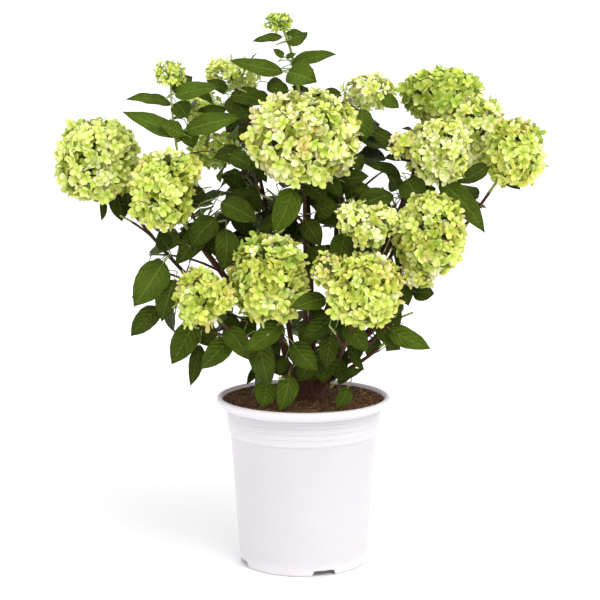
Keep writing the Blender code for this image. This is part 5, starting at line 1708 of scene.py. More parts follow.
@dataclass
class NurseryPot:
    """The white nursery pot: rolled rim, ringed collar, tapering wall and notched foot."""

    corners: int = 144
    foot: tuple[tuple[float, float], ...] = (
        (0.0570, 0.0), (0.0600, 0.0095), (0.0775, 0.0095), (0.0785, 0.0), (0.0800, 0.0), (0.0817, 0.0004),
        (0.0828, 0.0015), (0.0833, 0.0034), (0.0836, 0.0080))
    wall: tuple[tuple[float, float], ...] = (
        (0.0853, 0.0310), (0.0871, 0.0560), (0.0890, 0.0830), (0.0910, 0.1100), (0.0931, 0.1380),
        (0.0950, 0.1620), (0.0957, 0.1712), (0.0960, 0.1726), (0.0968, 0.1738), (0.0977, 0.1746),
        (0.0982, 0.1758))
    rings: tuple[float, ...] = (0.1837, 0.1914, 0.1992)
    ring_radius: tuple[float, float] = (0.0982, 0.1012)
    ring_margin: float = 0.008
    ring_profile: tuple[tuple[float, float], ...] = (
        (-0.0004, -0.0016), (-0.0005, -0.0007), (0.0007, 0.0), (0.0007, 0.0008), (0.0002, 0.0019))
    rim: tuple[tuple[float, float], ...] = (
        (0.1016, 0.2046), (0.1016, 0.2062), (0.1022, 0.2074), (0.1046, 0.2084), (0.1080, 0.2098),
        (0.1108, 0.2117), (0.1127, 0.2138), (0.1137, 0.2162), (0.1140, 0.2184), (0.1136, 0.2202),
        (0.1126, 0.2214), (0.1110, 0.2220), (0.1092, 0.2220), (0.1079, 0.2214), (0.1070, 0.2202),
        (0.1063, 0.2186), (0.1055, 0.2165))
    inside: tuple[tuple[float, float], ...] = (
        (0.1030, 0.2125), (0.1008, 0.2085), (0.0982, 0.1960), (0.0938, 0.1745), (0.0870, 0.0880),
        (0.0822, 0.0180), (0.0814, 0.0126), (0.0800, 0.0120))
    notches: int = 4
    first_notch: float = -71.0
    notch: tuple[float, float] = (0.0935, 0.034)
    notch_widths: tuple[float, float] = (0.036, 0.027)
    notch_heights: tuple[float, float] = (-0.002, 0.0078)
    drain: tuple[float, float] = (0.0695, 0.011)
    drain_widths: tuple[float, float] = (0.016, 0.016)
    drain_heights: tuple[float, float] = (0.0075, 0.016)
    crease: float = 38.0

    def profile(self) -> tuple[tuple[float, float], ...]:
        """Every ring of the pot, with a small step out at each moulded ring of the collar."""
        low, high = self.ring_radius
        span = self.rings[-1] - self.rings[0] + 2 * self.ring_margin
        collar: list[tuple[float, float]] = []
        for height in self.rings:
            radius = low + (high - low) * (height - self.rings[0] + self.ring_margin) / span
            collar += [(radius + out, height + up) for out, up in self.ring_profile]
        return self.foot + self.wall + tuple(collar) + self.rim + self.inside

    def build(self) -> None:
        """Turn the pot, cut its foot notches and drain holes, and smooth it."""
        pot = turned("moulded_pot", self.profile(), self.corners)
        for index in range(self.notches):
            turn = math.radians(self.first_notch + index * 360.0 / self.notches)
            self.cut(pot, turn, self.notch, self.notch_widths, self.notch_heights)
            self.cut(pot, turn, self.drain, self.drain_widths, self.drain_heights)
        dress(pot, PLASTIC, ["nursery_pot"], self.crease)

    @staticmethod
    def cut(pot: bpy.types.Object, turn: float, reach: tuple[float, float], widths: tuple[float, float],
            heights: tuple[float, float]) -> None:
        """Cut a wedge that narrows upwards out of the pot.

        Args:
            pot: the pot.
            turn: the wedge's direction from the axis, in radians.
            reach: the distance of its middle from the axis, and its depth along that direction.
            widths: its width at its foot and at its top.
            heights: the heights of its foot and its top.
        """
        bpy.ops.object.select_all(action="DESELECT")
        bpy.ops.mesh.primitive_cube_add(size=1.0, location=(0.0, 0.0, 0.0))
        cutter = bpy.context.active_object
        turned_by = Matrix.Rotation(turn, 4, "Z")
        for vert in cutter.data.vertices:
            upper = int(vert.co.z > 0.0)
            place = (reach[0] + vert.co.x * reach[1], vert.co.y * widths[upper], heights[upper])
            vert.co = turned_by @ Vector(place)
        shape(pot, "BOOLEAN", operation="DIFFERENCE", solver="EXACT", object=cutter)
        bpy.data.objects.remove(cutter, do_unlink=True)


@dataclass
class PottingMix:
    """The crumbly potting mix that fills the pot, with its loose crumbs and bark flecks."""

    corners: int = 132
    body: tuple[tuple[float, float], ...] = (
        (0.0800, 0.0124), (0.0812, 0.0150), (0.0933, 0.1748), (0.1003, 0.2086), (0.1030, 0.2132),
        (0.1046, 0.2164))
    edge: tuple[float, float] = (0.1052, 0.2180)
    crown: tuple[float, float] = (0.0040, 0.2190)
    rings: int = 44
    relief: float = 0.0015
    lumps: tuple[tuple[float, float], ...] = ((95.0, 0.9), (260.0, 0.6), (640.0, 0.45))
    crumbs: int = 3400
    crumb_sizes: tuple[float, float] = (0.0005, 0.0023)
    crumb_kinds: tuple[float, ...] = (0.50, 0.40, 0.10)

    def surface(self, x: float, y: float) -> float:
        """Height of the soil at a place."""
        share = min(1.0, math.hypot(x, y) / self.edge[0])
        smooth = self.crown[1] + (self.edge[1] - self.crown[1]) * share ** 1.4
        lumps = sum(noise.noise(Vector((x, y, 0.0)) * scale) * part for scale, part in self.lumps)
        return smooth + self.relief * lumps * min(1.0, (1.02 - share) * 14.0)

    def build(self) -> None:
        """Turn the mix, roughen its top and strew its crumbs."""
        (out, low), (inner, high) = self.edge, self.crown
        shares = [1.0 - ring / (self.rings - 1) for ring in range(self.rings)]
        top = tuple((inner + (out - inner) * share, high + (low - high) * share) for share in shares)
        mix = turned("crumbly_mix", self.body + top, self.corners)
        for vert in mix.data.vertices:
            if vert.co.z > low - 0.0008:
                vert.co.z = self.surface(vert.co.x, vert.co.y)
        dress(mix, SOIL, ["potting_soil"])
        self.strew()

    def strew(self) -> None:
        """Loose crumbs and tan flecks on the surface, each a squashed and dented lump."""
        rng = numbers("crumbs")
        radius = (self.edge[0] - 0.003) * np.sqrt(rng.uniform(0.0, 1.0, self.crumbs))
        angle = rng.uniform(0.0, math.tau, self.crumbs)
        x, y = radius * np.cos(angle), radius * np.sin(angle)
        z = np.array([self.surface(*place) for place in zip(x, y)])
        size = rng.uniform(*self.crumb_sizes, self.crumbs) * rng.uniform(0.6, 1.25, self.crumbs)
        kind = rng.choice(3, self.crumbs, p=self.crumb_kinds)
        lumps = LUMP[None] * rng.uniform(0.55, 1.15, (self.crumbs, 6, 1)) * size[:, None, None]
        lumps *= np.stack([rng.uniform(0.7, 1.9, self.crumbs), np.ones(self.crumbs),
                           np.where(kind == 2, 0.35, 0.8)], axis=1)[:, None]
        spin = rng.uniform(0.0, math.tau, self.crumbs)
        cos, sin, zero = np.cos(spin), np.sin(spin), np.zeros(self.crumbs)
        turn = np.array([[cos, -sin, zero], [sin, cos, zero], [zero, zero, zero + 1.0]]).transpose(2, 0, 1)
        points = np.einsum("kij,kpj->kpi", turn, lumps) + np.stack([x, y, z], axis=1)[:, None]
        batch = Batch("soil_crumbs", CRUMBS)
        batch.add_copies(points, LUMP_FACES, kind)
        batch.join("dark_potting_mix", ["potting_soil"])


# ------------------------------------------------------------------ the wood
def bark_relief(piece: bpy.types.Object, height: float) -> None:
    """Push a woody piece's surface in and out by lengthwise streaks, lumps and flakes.

    Args:
        piece: the piece.
        height: about how far.
    """
    mesh = piece.data
    normals = [vert.normal.copy() for vert in mesh.vertices]
    for vert, normal in zip(mesh.vertices, normals):
        place = vert.co
        streak = noise.noise(Vector((place.x * 900.0, place.y * 900.0, place.z * 150.0)))
        lump = noise.noise(place * 210.0)
        flake = max(0.0, noise.noise(Vector((place.x * 420.0, place.y * 420.0, place.z * 90.0))) - 0.25)
        vert.co = place + normal * height * (streak * 0.55 + lump * 0.75 + flake * 1.1)


def rods(name: str, runs: list[tuple[np.ndarray, np.ndarray]]) -> bpy.types.Object:
    """Round rods along curves, each a curve given thickness and made a mesh.

    Args:
        name: the piece's name.
        runs: the points and radii of each rod.

    Returns:
        One piece with all the rods.
    """
    curve = bpy.data.curves.new(name, "CURVE")
    curve.dimensions = "3D"
    curve.bevel_depth = 1.0
    curve.bevel_resolution = 4
    curve.use_fill_caps = True
    for points, radii in runs:
        line = curve.splines.new("POLY")
        line.points.add(len(points) - 1)
        line.points.foreach_set("co", np.hstack([points, np.ones((len(points), 1))]).ravel())
        line.points.foreach_set("radius", radii)
    piece = bpy.data.objects.new(name, curve)
    bpy.context.collection.objects.link(piece)
    pick(piece)
    bpy.ops.object.convert(target="MESH")
    return bpy.context.active_object


@dataclass
class WoodyStool:
    """The woody stool: a lobed flare, its legs, the seats of the canes, and the canes' bare boughs."""

    shrub: Shrub
    stretch: float = 1.22
    lobes: int = 5
    corners: int = 60
    flare: tuple[tuple[float, float, float], ...] = (
        (-0.0006, 0.0206, 0.17), (0.0012, 0.0200, 0.16), (0.0035, 0.0175, 0.14), (0.0065, 0.0154, 0.12),
        (0.0100, 0.0138, 0.09), (0.0160, 0.0120, 0.05), (0.0230, 0.0108, 0.02), (0.0270, 0.0098, 0.0))
    step: float = 0.003
    seat_swell: tuple[float, float] = (0.0016, 0.006)
    voxel: float = 0.0010
    softening: tuple[float, int] = (0.6, 6)
    relief: float = 0.00055
    bough_relief: float = 0.00022
    bough_step: float = 0.0022
    bough_ends: tuple[float, float] = (0.008, 0.002)
    scar_spacing: float = 0.030
    first_scar: float = 0.012
    scar_swell: tuple[float, float] = (0.0007, 0.0026)

    def root_flare(self) -> bpy.types.Object:
        """The flare: a turned foot drawn out into root lobes."""
        centre = self.shrub.stool_centre
        heights = [self.shrub.ground + height for height, _, _ in self.flare]
        _, radii, lobes = zip(*self.flare)
        flare = turned("root_flare", tuple(zip(radii, heights)), self.corners)
        for vert in flare.data.vertices:
            angle = math.atan2(vert.co.y, vert.co.x)
            swell = 1.0 + float(np.interp(vert.co.z, heights, lobes)) * math.cos(self.lobes * angle)
            vert.co.x = centre[0] + vert.co.x * swell * self.stretch
            vert.co.y = centre[1] + vert.co.y * swell
        return flare

    def build(self) -> None:
        """Join the flare, the legs and the seats into one barky stool, and add the boughs."""
        runs = []
        for leg in map(self.shrub.leg_path, LEGS):
            points, _, radii = leg.line(0.0, leg.length, self.step)
            runs.append((points, radii))
        swell, reach = self.seat_swell
        for path in map(self.shrub.cane_path, CANES + SKIRTS):
            points, stops, radii = path.line(0.0, self.shrub.stub_length, self.step)
            runs.append((points, radii + swell * np.exp(-stops / reach)))
        stool = rods("woody_stool", runs)
        pick(self.root_flare(), stool)
        bpy.ops.object.join()
        shape(stool, "REMESH", mode="VOXEL", voxel_size=self.voxel)
        factor, iterations = self.softening
        shape(stool, "SMOOTH", factor=factor, iterations=iterations)
        bark_relief(stool, self.relief)
        boughs = self.boughs()
        dress(stool, OLD_BARK, ["stem_base"])
        dress(boughs, OLD_BARK, nodes_of("bough_"))

    def boughs(self) -> bpy.types.Object:
        """All the bare boughs, from their seats to their leafy shoots, with rings of old leaf scars."""
        runs: list[tuple[np.ndarray, np.ndarray]] = []
        before, beyond = self.bough_ends
        swell, width = self.scar_swell
        for plan in CANES:
            path = self.shrub.cane_path(plan)
            begin, end = self.shrub.bough_stretch(plan, path)
            points, stops, radii = path.line(begin - before, end + beyond, self.bough_step)
            for scar in np.arange(begin + self.first_scar, end, self.scar_spacing):
                radii = radii + swell * np.exp(-((stops - scar) / width) ** 2)
            runs.append((points, radii))
        boughs = rods("boughs", runs)
        bark_relief(boughs, self.bough_relief)
        return boughs


@dataclass
class Shoots:
    """The leafy shoots, side shoots, fine twigs and the leaves' own stalks."""

    shrub: Shrub
    sides: int = 7
    step: float = 0.006
    node_swell: float = 0.42
    node_width: float = 0.28
    green_reach: float = 0.016
    russet_reach: float = 0.075
    young_reaches: tuple[float, float] = (1.6, 2.6)
    stalk_sides: int = 5
    stalk_sag: float = 0.0011
    stalk_sink: float = 0.002
    stalk_widths: tuple[float, ...] = (1.0, 0.78, 0.66, 0.62, 0.66, 0.72)

    def build(self) -> None:
        """Gather every shoot and stalk and join them."""
        wood = Batch("shoots", YOUNG_BARK)
        stalks = Batch("leaf_stalks", (STALK_GREEN, STALK_RED))
        for mass in self.shrub.masses:
            budding = any(bloom.bloom.habit is Habit.BUDS for bloom in mass.plan.heads)
            for index, shoot in enumerate(mass.shoots):
                start = shoot.begin - 0.003 if index == 0 else 0.0
                young = budding or any(bloom.bloom.habit is Habit.BUDS for bloom in shoot.heads)
                self.add_shoot(wood, shoot.path, max(0.0, start), shoot.end, shoot.heads, young)
            for twig in mass.stalks + mass.twigs:
                self.add_shoot(wood, twig, 0.0, twig.length)
            for leaf in mass.leaves:
                self.add_stalk(stalks, leaf)
        wood.join("red_brown_bark", nodes_of("foliage_"))
        stalks.join("leaf_green", nodes_of("foliage_"))

    def add_shoot(self, wood: Batch, path: Path, begin: float, end: float, heads: list[Head] | None = None,
                  young: bool = False) -> None:
        """Add one shoot, swollen at its nodes and greener towards its head.

        Args:
            wood: the batch it goes into.
            path: its curve.
            begin: where it begins.
            end: where it ends.
            heads: its flower heads.
            young: whether it is green for most of its length.
        """
        points, stops, radii = path.line(begin, end, self.step)
        wave = np.cos(math.tau * (stops - begin) / self.shrub.leaf_rule.internode)
        swell = np.clip(wave - 1.0 + self.node_width, 0.0, 1.0) / self.node_width * 0.5
        verts, faces = turned_tube(points, radii * (1.0 + self.node_swell * swell), self.sides)
        left = end - (heads[0].high if heads else 0.0) - (stops[:-1] + stops[1:]) / 2
        green, russet = self.young_reaches if young else (1.0, 1.0)
        bands = np.where(left < self.green_reach, 2, np.where(left < self.russet_reach * russet, 1, 0))
        if young:
            bands = np.where(left < self.russet_reach * green, 2, bands)
        wood.add(verts, faces, np.repeat([*bands, bands[0], bands[-1]], self.sides))

    def add_stalk(self, stalks: Batch, leaf: Leaf) -> None:
        """Add one leaf's stalk, from the shoot to the foot of the blade.

        Args:
            stalks: the batch it goes into.
            leaf: the leaf.
        """
        rule = self.shrub.leaf_rule
        along = leaf.pose[0]
        reach = rule.petiole + rule.neck + self.stalk_sink
        sag = along.cross(UP).cross(along)
        line = [leaf.anchor + along * float(reach * share)
                + sag * float(self.stalk_sag * math.sin(math.pi * share))
                for share in np.linspace(0.0, 1.0, len(self.stalk_widths))]
        slim = 0.85 + 0.25 * min(1.0, leaf.pose[2] / rule.length)
        radii = rule.petiole_radius * slim * np.array(self.stalk_widths)
        verts, faces = turned_tube(np.array(line), radii, self.stalk_sides)
        # A listed leaf's stalk turns green with the leaf's youth number, which for such a leaf partly stands
        # for painted light.
        stalks.add(verts, faces, 0 if leaf.youth_and_light > 0.4 else zlib.crc32(leaf.spray.encode()) % 2)


@dataclass
class Foliage:
    """Every leaf's blade: folded at its midrib, quilted between its veins, toothed and curled."""

    shrub: Shrub
    stations: tuple[float, ...] = (0.0, 0.04, 0.11, 0.19, 0.28, 0.37, 0.46, 0.55, 0.64, 0.72, 0.80, 0.87,
                                   0.94, 0.98, 1.0)
    widths: tuple[float, ...] = (0.06, 0.34, 0.65, 0.86, 0.97, 1.0, 0.98, 0.93, 0.84, 0.72, 0.55, 0.36,
                                 0.15, 0.05, 0.004)
    across: tuple[float, ...] = (-1.0, -0.5, 0.0, 0.5, 1.0)
    tooth: float = 0.014
    quilt: float = 0.012
    veins: float = 6.5
    wave: float = 0.026
    tint_shares: tuple[float, ...] = (0.34, 0.42, 0.24)
    shown_tint: float = 4.2

    def faces(self) -> np.ndarray:
        """Faces of one blade."""
        wide = len(self.across)
        low = np.arange(len(self.stations) - 1)[:, None] * wide + np.arange(wide - 1)[None]
        return np.stack([low, low + 1, low + 1 + wide, low + wide], axis=-1).reshape(-1, 4)

    def blade(self, leaf: Leaf, rng: np.random.Generator) -> np.ndarray:
        """Points of one blade.

        Args:
            leaf: where and how it stands.
            rng: random numbers.

        Returns:
            Its points, one in each row.
        """
        along, face, length, curl = leaf.pose
        sideways = along.cross(face).normalized()
        face = sideways.cross(along).normalized()
        a, f, s = (np.array(axis) for axis in (along, face, sideways))
        rule = self.shrub.leaf_rule
        t, u = np.array(self.stations), np.array(self.across)
        row, out = t[:, None], np.abs(u)
        angle = curl * (0.16 + 1.05 * t) + rng.uniform(0.0, 0.5) * np.clip(t - 0.7, 0.0, 1.0)
        cos, sin = np.cos(angle)[:, None], np.sin(angle)[:, None]
        steps = (cos * a - sin * f) * (np.diff(t, prepend=0.0)[:, None] * length)
        rib = np.array(leaf.anchor) + a * (rule.petiole + rule.neck) + np.cumsum(steps, axis=0)
        half = length * leaf.breadth / 2 * rng.uniform(0.96, 1.10)
        teeth = 1.0 + self.tooth * np.where(np.arange(len(t)) % 2, 1.0, -1.0)[:, None] * out ** 3
        wide = half * np.array(self.widths)[:, None] * u[None] * teeth
        skew = rng.uniform(-0.05, 0.05) * length * np.sin(math.pi * row)
        fold = rng.uniform(0.12, 0.42) * np.abs(wide) * (1.0 - 0.35 * out)
        furrows = np.sin((row - (0.20 + 0.14 * out) * out) * math.tau * self.veins)
        furrows = self.quilt * length * furrows * out * (1.0 - out) * 1.6
        waves = self.wave * length * np.sin(math.tau * (rng.uniform(1.3, 2.4) * row + rng.random())
                                            + np.sign(u) * rng.uniform(0.2, 1.4)) * u ** 2
        waves *= np.sin(math.pi * row)
        lift = fold + furrows + waves + rng.uniform(-0.22, 0.22) * row * wide
        normal = sin * a + cos * f
        points = rib[:, None] + s * (wide + skew)[..., None] + normal[:, None] * lift[..., None]
        return points.reshape(-1, 3)

    def tint(self, leaf: Leaf, spray: int, rng: np.random.Generator) -> int:
        """The green of one leaf.

        Args:
            leaf: the leaf.
            spray: the green of its spray.
            rng: random numbers.

        Returns:
            An index of the greens.
        """
        # A listed leaf's green follows the number set for its youth and light: partly painted light and
        # shade, darker for leaves deep in the crown and fresher for leaves in light.
        if "_shown_" in leaf.spray:
            return min(3, round(leaf.youth_and_light * self.shown_tint))
        if leaf.youth_and_light > 0.75:
            return int(rng.choice((3, 4), p=(0.65, 0.35)))
        if leaf.youth_and_light > 0.4:
            return int(rng.choice((2, 3), p=(0.5, 0.5)))
        return int(rng.choice(3)) if rng.random() < 0.25 else spray

    def build(self) -> None:
        """Join all the blades, tinted by spray."""
        batch = Batch("leaves", LEAF_GREENS)
        faces = self.faces()
        places = np.stack(np.meshgrid(self.stations, self.across, indexing="ij"), axis=-1).reshape(-1, 2)
        for mass in self.shrub.masses:
            rng = numbers("leaves_" + mass.plan.name)
            sprays: dict[str, int] = {}
            for leaf in mass.leaves:
                spray = sprays.setdefault(leaf.spray, int(rng.choice(3, p=self.tint_shares)))
                tint = self.tint(leaf, spray, rng)
                batch.add(self.blade(leaf, rng), faces, tint, places)
        batch.join("leaf_green", nodes_of("foliage_"))


# ------------------------------------------------------------------ the flower heads
OPENED: dict[tuple[str, int], tuple[tuple[float, float, float], float, float]] = {
    ("left", 0): ((0.003, 0.0, 0.0), 0.84, 0.97),
    ("left", 1): ((-0.010, 0.0, 0.004), 0.80, 0.80),
    ("centre", 0): ((0.002, 0.0, -0.001), 0.96, 0.97),
    ("right", 0): ((0.004, 0.0, -0.001), 0.76, 0.99),
    ("right", 1): ((-0.002, 0.0, -0.004), 1.15, 1.15),
    ("far_upper_right", 0): ((0.002, 0.0, -0.002), 0.96, 0.95),
    ("far_upper_right", 1): ((-0.002, -0.014, -0.002), 1.03, 1.06),
    ("far_right", 0): ((0.001, 0.0, 0.0), 0.93, 0.97),
    ("low_right", 0): ((0.0, 0.0, -0.004), 0.94, 0.92),
    ("low_right", 1): ((-0.012, 0.0, 0.012), 0.88, 0.72),
    ("low_left", 0): ((-0.004, 0.0, 0.0), 0.74, 1.0),
    ("low_left", 1): ((-0.002, 0.0, -0.002), 1.25, 1.8),
    ("front", 0): ((-0.001, 0.0, -0.005), 0.90, 0.99),
    ("front_right", 0): ((0.004, 0.0, 0.001), 0.84, 0.98),
    ("upper_right", 0): ((-0.004, 0.0, -0.002), 0.93, 0.95),
}


@dataclass(frozen=True)
class FloretShape:
    """A floret's own sizes: four rounded sepals round a small closed bud."""

    sepals: int = 4
    sepal: float = 0.0110
    breadth: float = 0.0080
    bud: float = 0.0009
    lift: float = 0.0004
    overlap: float = 0.0005
    stations: tuple[float, ...] = (0.05, 0.28, 0.54, 0.80, 1.0)
    widths: tuple[float, ...] = (0.20, 0.78, 1.0, 0.74, 0.10)

    def places(self) -> np.ndarray:
        """Texture coordinates of one floret: along each sepal, and the bud at its foot."""
        sepals = np.tile(np.repeat(self.stations, 3), self.sepals)
        along = np.concatenate([sepals, np.zeros(self.sepals + 1)])
        return np.stack([along, np.zeros(len(along))], axis=1)

    def faces(self) -> np.ndarray:
        """Faces of one floret: the sepals' first, then the bud's."""
        result: list[tuple[int, int, int, int]] = []
        rows = len(self.stations)
        for sepal in range(self.sepals):
            for row in range(rows - 1):
                low = (sepal * rows + row) * 3
                result += [(low, low + 1, low + 4, low + 3), (low + 1, low + 2, low + 5, low + 4)]
        foot = self.sepals * rows * 3
        result += [(foot + k, foot + (k + 1) % self.sepals, foot + self.sepals, -1)
                   for k in range(self.sepals)]
        return np.array(result)

    def points(self, rng: np.random.Generator) -> np.ndarray:
        """Points of one floret that faces +Z.

        Args:
            rng: random numbers.

        Returns:
            Its points, one in each row.
        """
        verts: list[tuple[float, float, float]] = []
        for sepal in range(self.sepals):
            turn = math.tau * sepal / self.sepals + rng.uniform(-0.22, 0.22)
            length = self.sepal * rng.uniform(0.76, 1.08)
            half = self.breadth / 2 * rng.uniform(0.82, 1.10)
            lift = rng.uniform(-0.05, 1.15)
            cup = rng.uniform(-0.30, 0.35)
            roll = rng.uniform(-0.50, 0.50)
            over = self.overlap * (sepal % 2)
            for t, wide in zip(self.stations, self.widths):
                for u in (-1.0, 0.0, 1.0):
                    x = length * t * (1.0 if u == 0.0 or t < 1.0 else 0.93)
                    y = half * wide * u
                    z = (over + lift * x * 0.6 + cup * x * x / length + 0.13 * half * wide * abs(u)
                         + roll * y * t)
                    verts.append((x * math.cos(turn) - y * math.sin(turn),
                                  x * math.sin(turn) + y * math.cos(turn), z))
        for k in range(self.sepals):
            angle = math.tau * k / self.sepals
            verts.append((self.bud * math.cos(angle), self.bud * math.sin(angle), self.lift))
        verts.append((0.0, 0.0, self.lift + self.bud * 1.3))
        return np.array(verts)


@dataclass(frozen=True)
class Coat:
    """One coat of florets or buds on a head, strewn at a share of the head's own reach."""

    depth: float
    crowd: float
    least: int
    shake: float
    reaches: tuple[float, float]
    sizes: tuple[float, float]
    jitter: float
    stalk: float
    spacing: float = 0.0094
    lowest: float = -1.1

    def count(self, bloom: Head) -> int:
        """How many of them a head bears."""
        mean = (bloom.wide * bloom.wide * bloom.high) ** (1.0 / 3.0)
        return max(self.least, int(4.0 * math.pi * (mean * self.depth) ** 2 / self.spacing ** 2 * self.crowd))


def unit(rows: np.ndarray) -> np.ndarray:
    """Each row, brought to a length of one."""
    return rows / np.linalg.norm(rows, axis=1)[:, None]


def even_directions(count: int, rng: np.random.Generator) -> np.ndarray:
    """Directions spread evenly over a ball, from a random start.

    Args:
        count: how many.
        rng: random numbers.

    Returns:
        Unit vectors, one in each row.
    """
    index = np.arange(count) + 0.5
    height = 1.0 - 2.0 * index / count
    angle = index * math.pi * (3.0 - math.sqrt(5.0)) + rng.uniform(0.0, math.tau)
    flat = np.sqrt(1.0 - height ** 2)
    return np.stack([flat * np.cos(angle), flat * np.sin(angle), height], axis=1)


def facing(normals: np.ndarray, spins: np.ndarray) -> np.ndarray:
    """Turns that take +Z to each normal, after a spin about it.

    Args:
        normals: unit vectors, one in each row.
        spins: angles, in radians.

    Returns:
        A 3 x 3 matrix for each.
    """
    helper = np.where(np.abs(normals[:, 2:3]) < 0.9, np.array([[0.0, 0.0, 1.0]]), np.array([[1.0, 0.0, 0.0]]))
    first = unit(np.cross(helper, normals))
    second = np.cross(normals, first)
    cos, sin = np.cos(spins)[:, None], np.sin(spins)[:, None]
    return np.stack([first * cos + second * sin, second * cos - first * sin, normals], axis=2)


@dataclass
class FlowerHeads:
    """All the flower heads: florets over a dense heart of painted shade, loose rays of florets, or rays of
    buds.
    """

    shrub: Shrub
    floret: FloretShape = FloretShape()
    floret_kinds: int = 10
    outer: Coat = Coat(0.93, 1.0, 14, 0.045, (0.90, 1.06), (0.78, 1.08), 0.58, 0.0005, lowest=-0.93)
    inner: Coat = Coat(0.80, 0.62, 14, 0.045, (0.90, 1.06), (0.78, 1.08), 0.58, 0.0, lowest=-0.93)
    open_coats: tuple[Coat, ...] = (
        Coat(0.93, 1.0, 12, 0.12, (0.86, 1.06), (0.62, 0.90), 0.42, 0.0004, spacing=0.0098),
        Coat(0.66, 0.55, 12, 0.12, (0.86, 1.06), (0.62, 0.90), 0.42, 0.0004, spacing=0.0098))
    bud_coat: Coat = Coat(0.95, 1.0, 210, 0.15, (0.72, 1.05), (0.34, 0.60), 0.4, 0.0003)
    open_rays: int = 22
    bud_rays: int = 18
    ray: float = 0.0007
    ray_reach: float = 0.62
    stalk_foot: float = 0.55
    shaded_share: float = 0.62
    closed_share: float = 0.72
    bud_sizes: tuple[float, float] = (0.0009, 0.0019)
    pale_buds: float = 0.4
    heart: float = 0.62
    heart_grid: tuple[int, int] = (9, 16)
    lobing: float = 0.13
    lobes: float = 2.6
    lift: float = 0.10
    sprays: int = 24
    spray_share: float = 0.45
    blush: tuple[float, float, float] = (0.62, 1.7, 0.15)

    def __post_init__(self) -> None:
        """Shape the kinds of floret and start a batch of each kind of thing."""
        rng = numbers("floret kinds")
        self.kinds = np.stack([self.floret.points(rng) for _ in range(self.floret_kinds)])
        self.petals = Batch("florets", PETALS + (BUD_GREEN,))
        self.rays = Batch("flower_rays", (STALK_GREEN,))
        self.hearts = Batch("flower_hearts", (HEART_PAINTED_SHADE,))
        self.buds = Batch("flower_buds", (BUD_GREEN, PETALS[2]))

    def build(self) -> None:
        """Build every head and join florets, rays, hearts and buds, each kind apart."""
        builders = {Habit.FULL: self.full, Habit.LOOSE: self.loose, Habit.BUDS: self.budding}
        for mass in self.shrub.masses:
            for number, bloom in enumerate(mass.heads):
                shift, wide, high = OPENED.get((mass.plan.name, number), ((0.0, 0.0, 0.0), 1.0, 1.0))
                bloom = replace(bloom, centre=bloom.centre + Vector(shift), wide=bloom.wide * wide,
                                high=bloom.high * high)
                builders[bloom.bloom.habit](bloom, numbers(f"{mass.plan.name}_head_{number}"))
        for batch in (self.petals, self.rays, self.hearts, self.buds):
            batch.join("leaf_green", nodes_of("foliage_"))

    def strewn(self, bloom: Head, rng: np.random.Generator, coat: Coat) -> tuple[np.ndarray, np.ndarray]:
        """The places of a coat's florets, on the head's lumpy surface or at a share of the way there.

        Args:
            bloom: the head.
            rng: random numbers.
            coat: the coat.

        Returns:
            Their directions and their offsets from the head's centre, one in each row.
        """
        count = coat.count(bloom)
        directions = unit(even_directions(count, rng) + rng.normal(0.0, coat.shake, (count, 3)))
        directions = directions[directions[:, 2] > coat.lowest]
        seed = Vector(rng.uniform(0.0, 50.0, 3))
        lumps = np.array([noise.noise(Vector(row) * self.lobes + seed) for row in directions])
        reach = (coat.depth * (1.0 + self.lobing * lumps))[:, None]
        offsets = self.shrub.head_rule.surface(bloom, directions) * reach
        return directions, offsets * rng.uniform(*coat.reaches, len(offsets))[:, None]

    def normals(self, bloom: Head, offsets: np.ndarray, rng: np.random.Generator,
                jitter: float) -> np.ndarray:
        """Outward directions on a head, shaken a little and lifted.

        Args:
            bloom: the head.
            offsets: offsets from its centre.
            rng: random numbers.
            jitter: how far they are shaken.

        Returns:
            Unit vectors, one in each row.
        """
        out = unit(offsets / np.array([bloom.wide ** 2, bloom.wide ** 2, bloom.high ** 2]))
        return unit(out + rng.normal(0.0, jitter, out.shape) + np.array([0.0, 0.0, self.lift]))

    def tints(self, bloom: Head, directions: np.ndarray, rng: np.random.Generator) -> np.ndarray:
        """The petal finish of each floret: sprays share one, and a blush keeps to the sides and top.

        Args:
            bloom: the head.
            directions: the florets' directions from its centre.
            rng: random numbers.

        Returns:
            An index of the petal finishes for each floret.
        """
        shares = bloom.bloom.shares
        limit, more, less = self.blush
        centres = even_directions(self.sprays, rng)
        chances = np.tile(shares, (self.sprays, 1))
        edge = np.maximum(np.abs(centres[:, 0]), centres[:, 2]) > limit
        chances[:, 5:7] *= np.where(edge, more, less)[:, None]
        chances /= chances.sum(axis=1)[:, None]
        sprays = np.array([rng.choice(len(shares), p=row) for row in chances])
        nearest = np.argmax(directions @ centres.T, axis=1)
        own = np.array([rng.choice(len(shares), p=chances[index]) for index in nearest])
        return np.where(rng.random(len(directions)) < self.spray_share, sprays[nearest], own)

    def scatter(self, places: np.ndarray, normals: np.ndarray, tints: np.ndarray, sizes: np.ndarray,
                rng: np.random.Generator) -> None:
        """Put florets at places.

        Args:
            places: their middles.
            normals: the way they face.
            tints: their finishes.
            sizes: their sizes, 1 being full size.
            rng: random numbers.
        """
        faces = self.floret.faces()
        turns = facing(normals, rng.uniform(0.0, math.tau, len(places)))
        shapes = self.kinds[rng.integers(len(self.kinds), size=len(places))] * sizes[:, None, None]
        points = np.einsum("kij,kpj->kpi", turns, shapes) + places[:, None]
        slots = np.repeat(tints[:, None], len(faces), axis=1)
        slots[:, -self.floret.sepals:] = len(PETALS)
        self.petals.add_copies(points, faces, slots, self.floret.places())

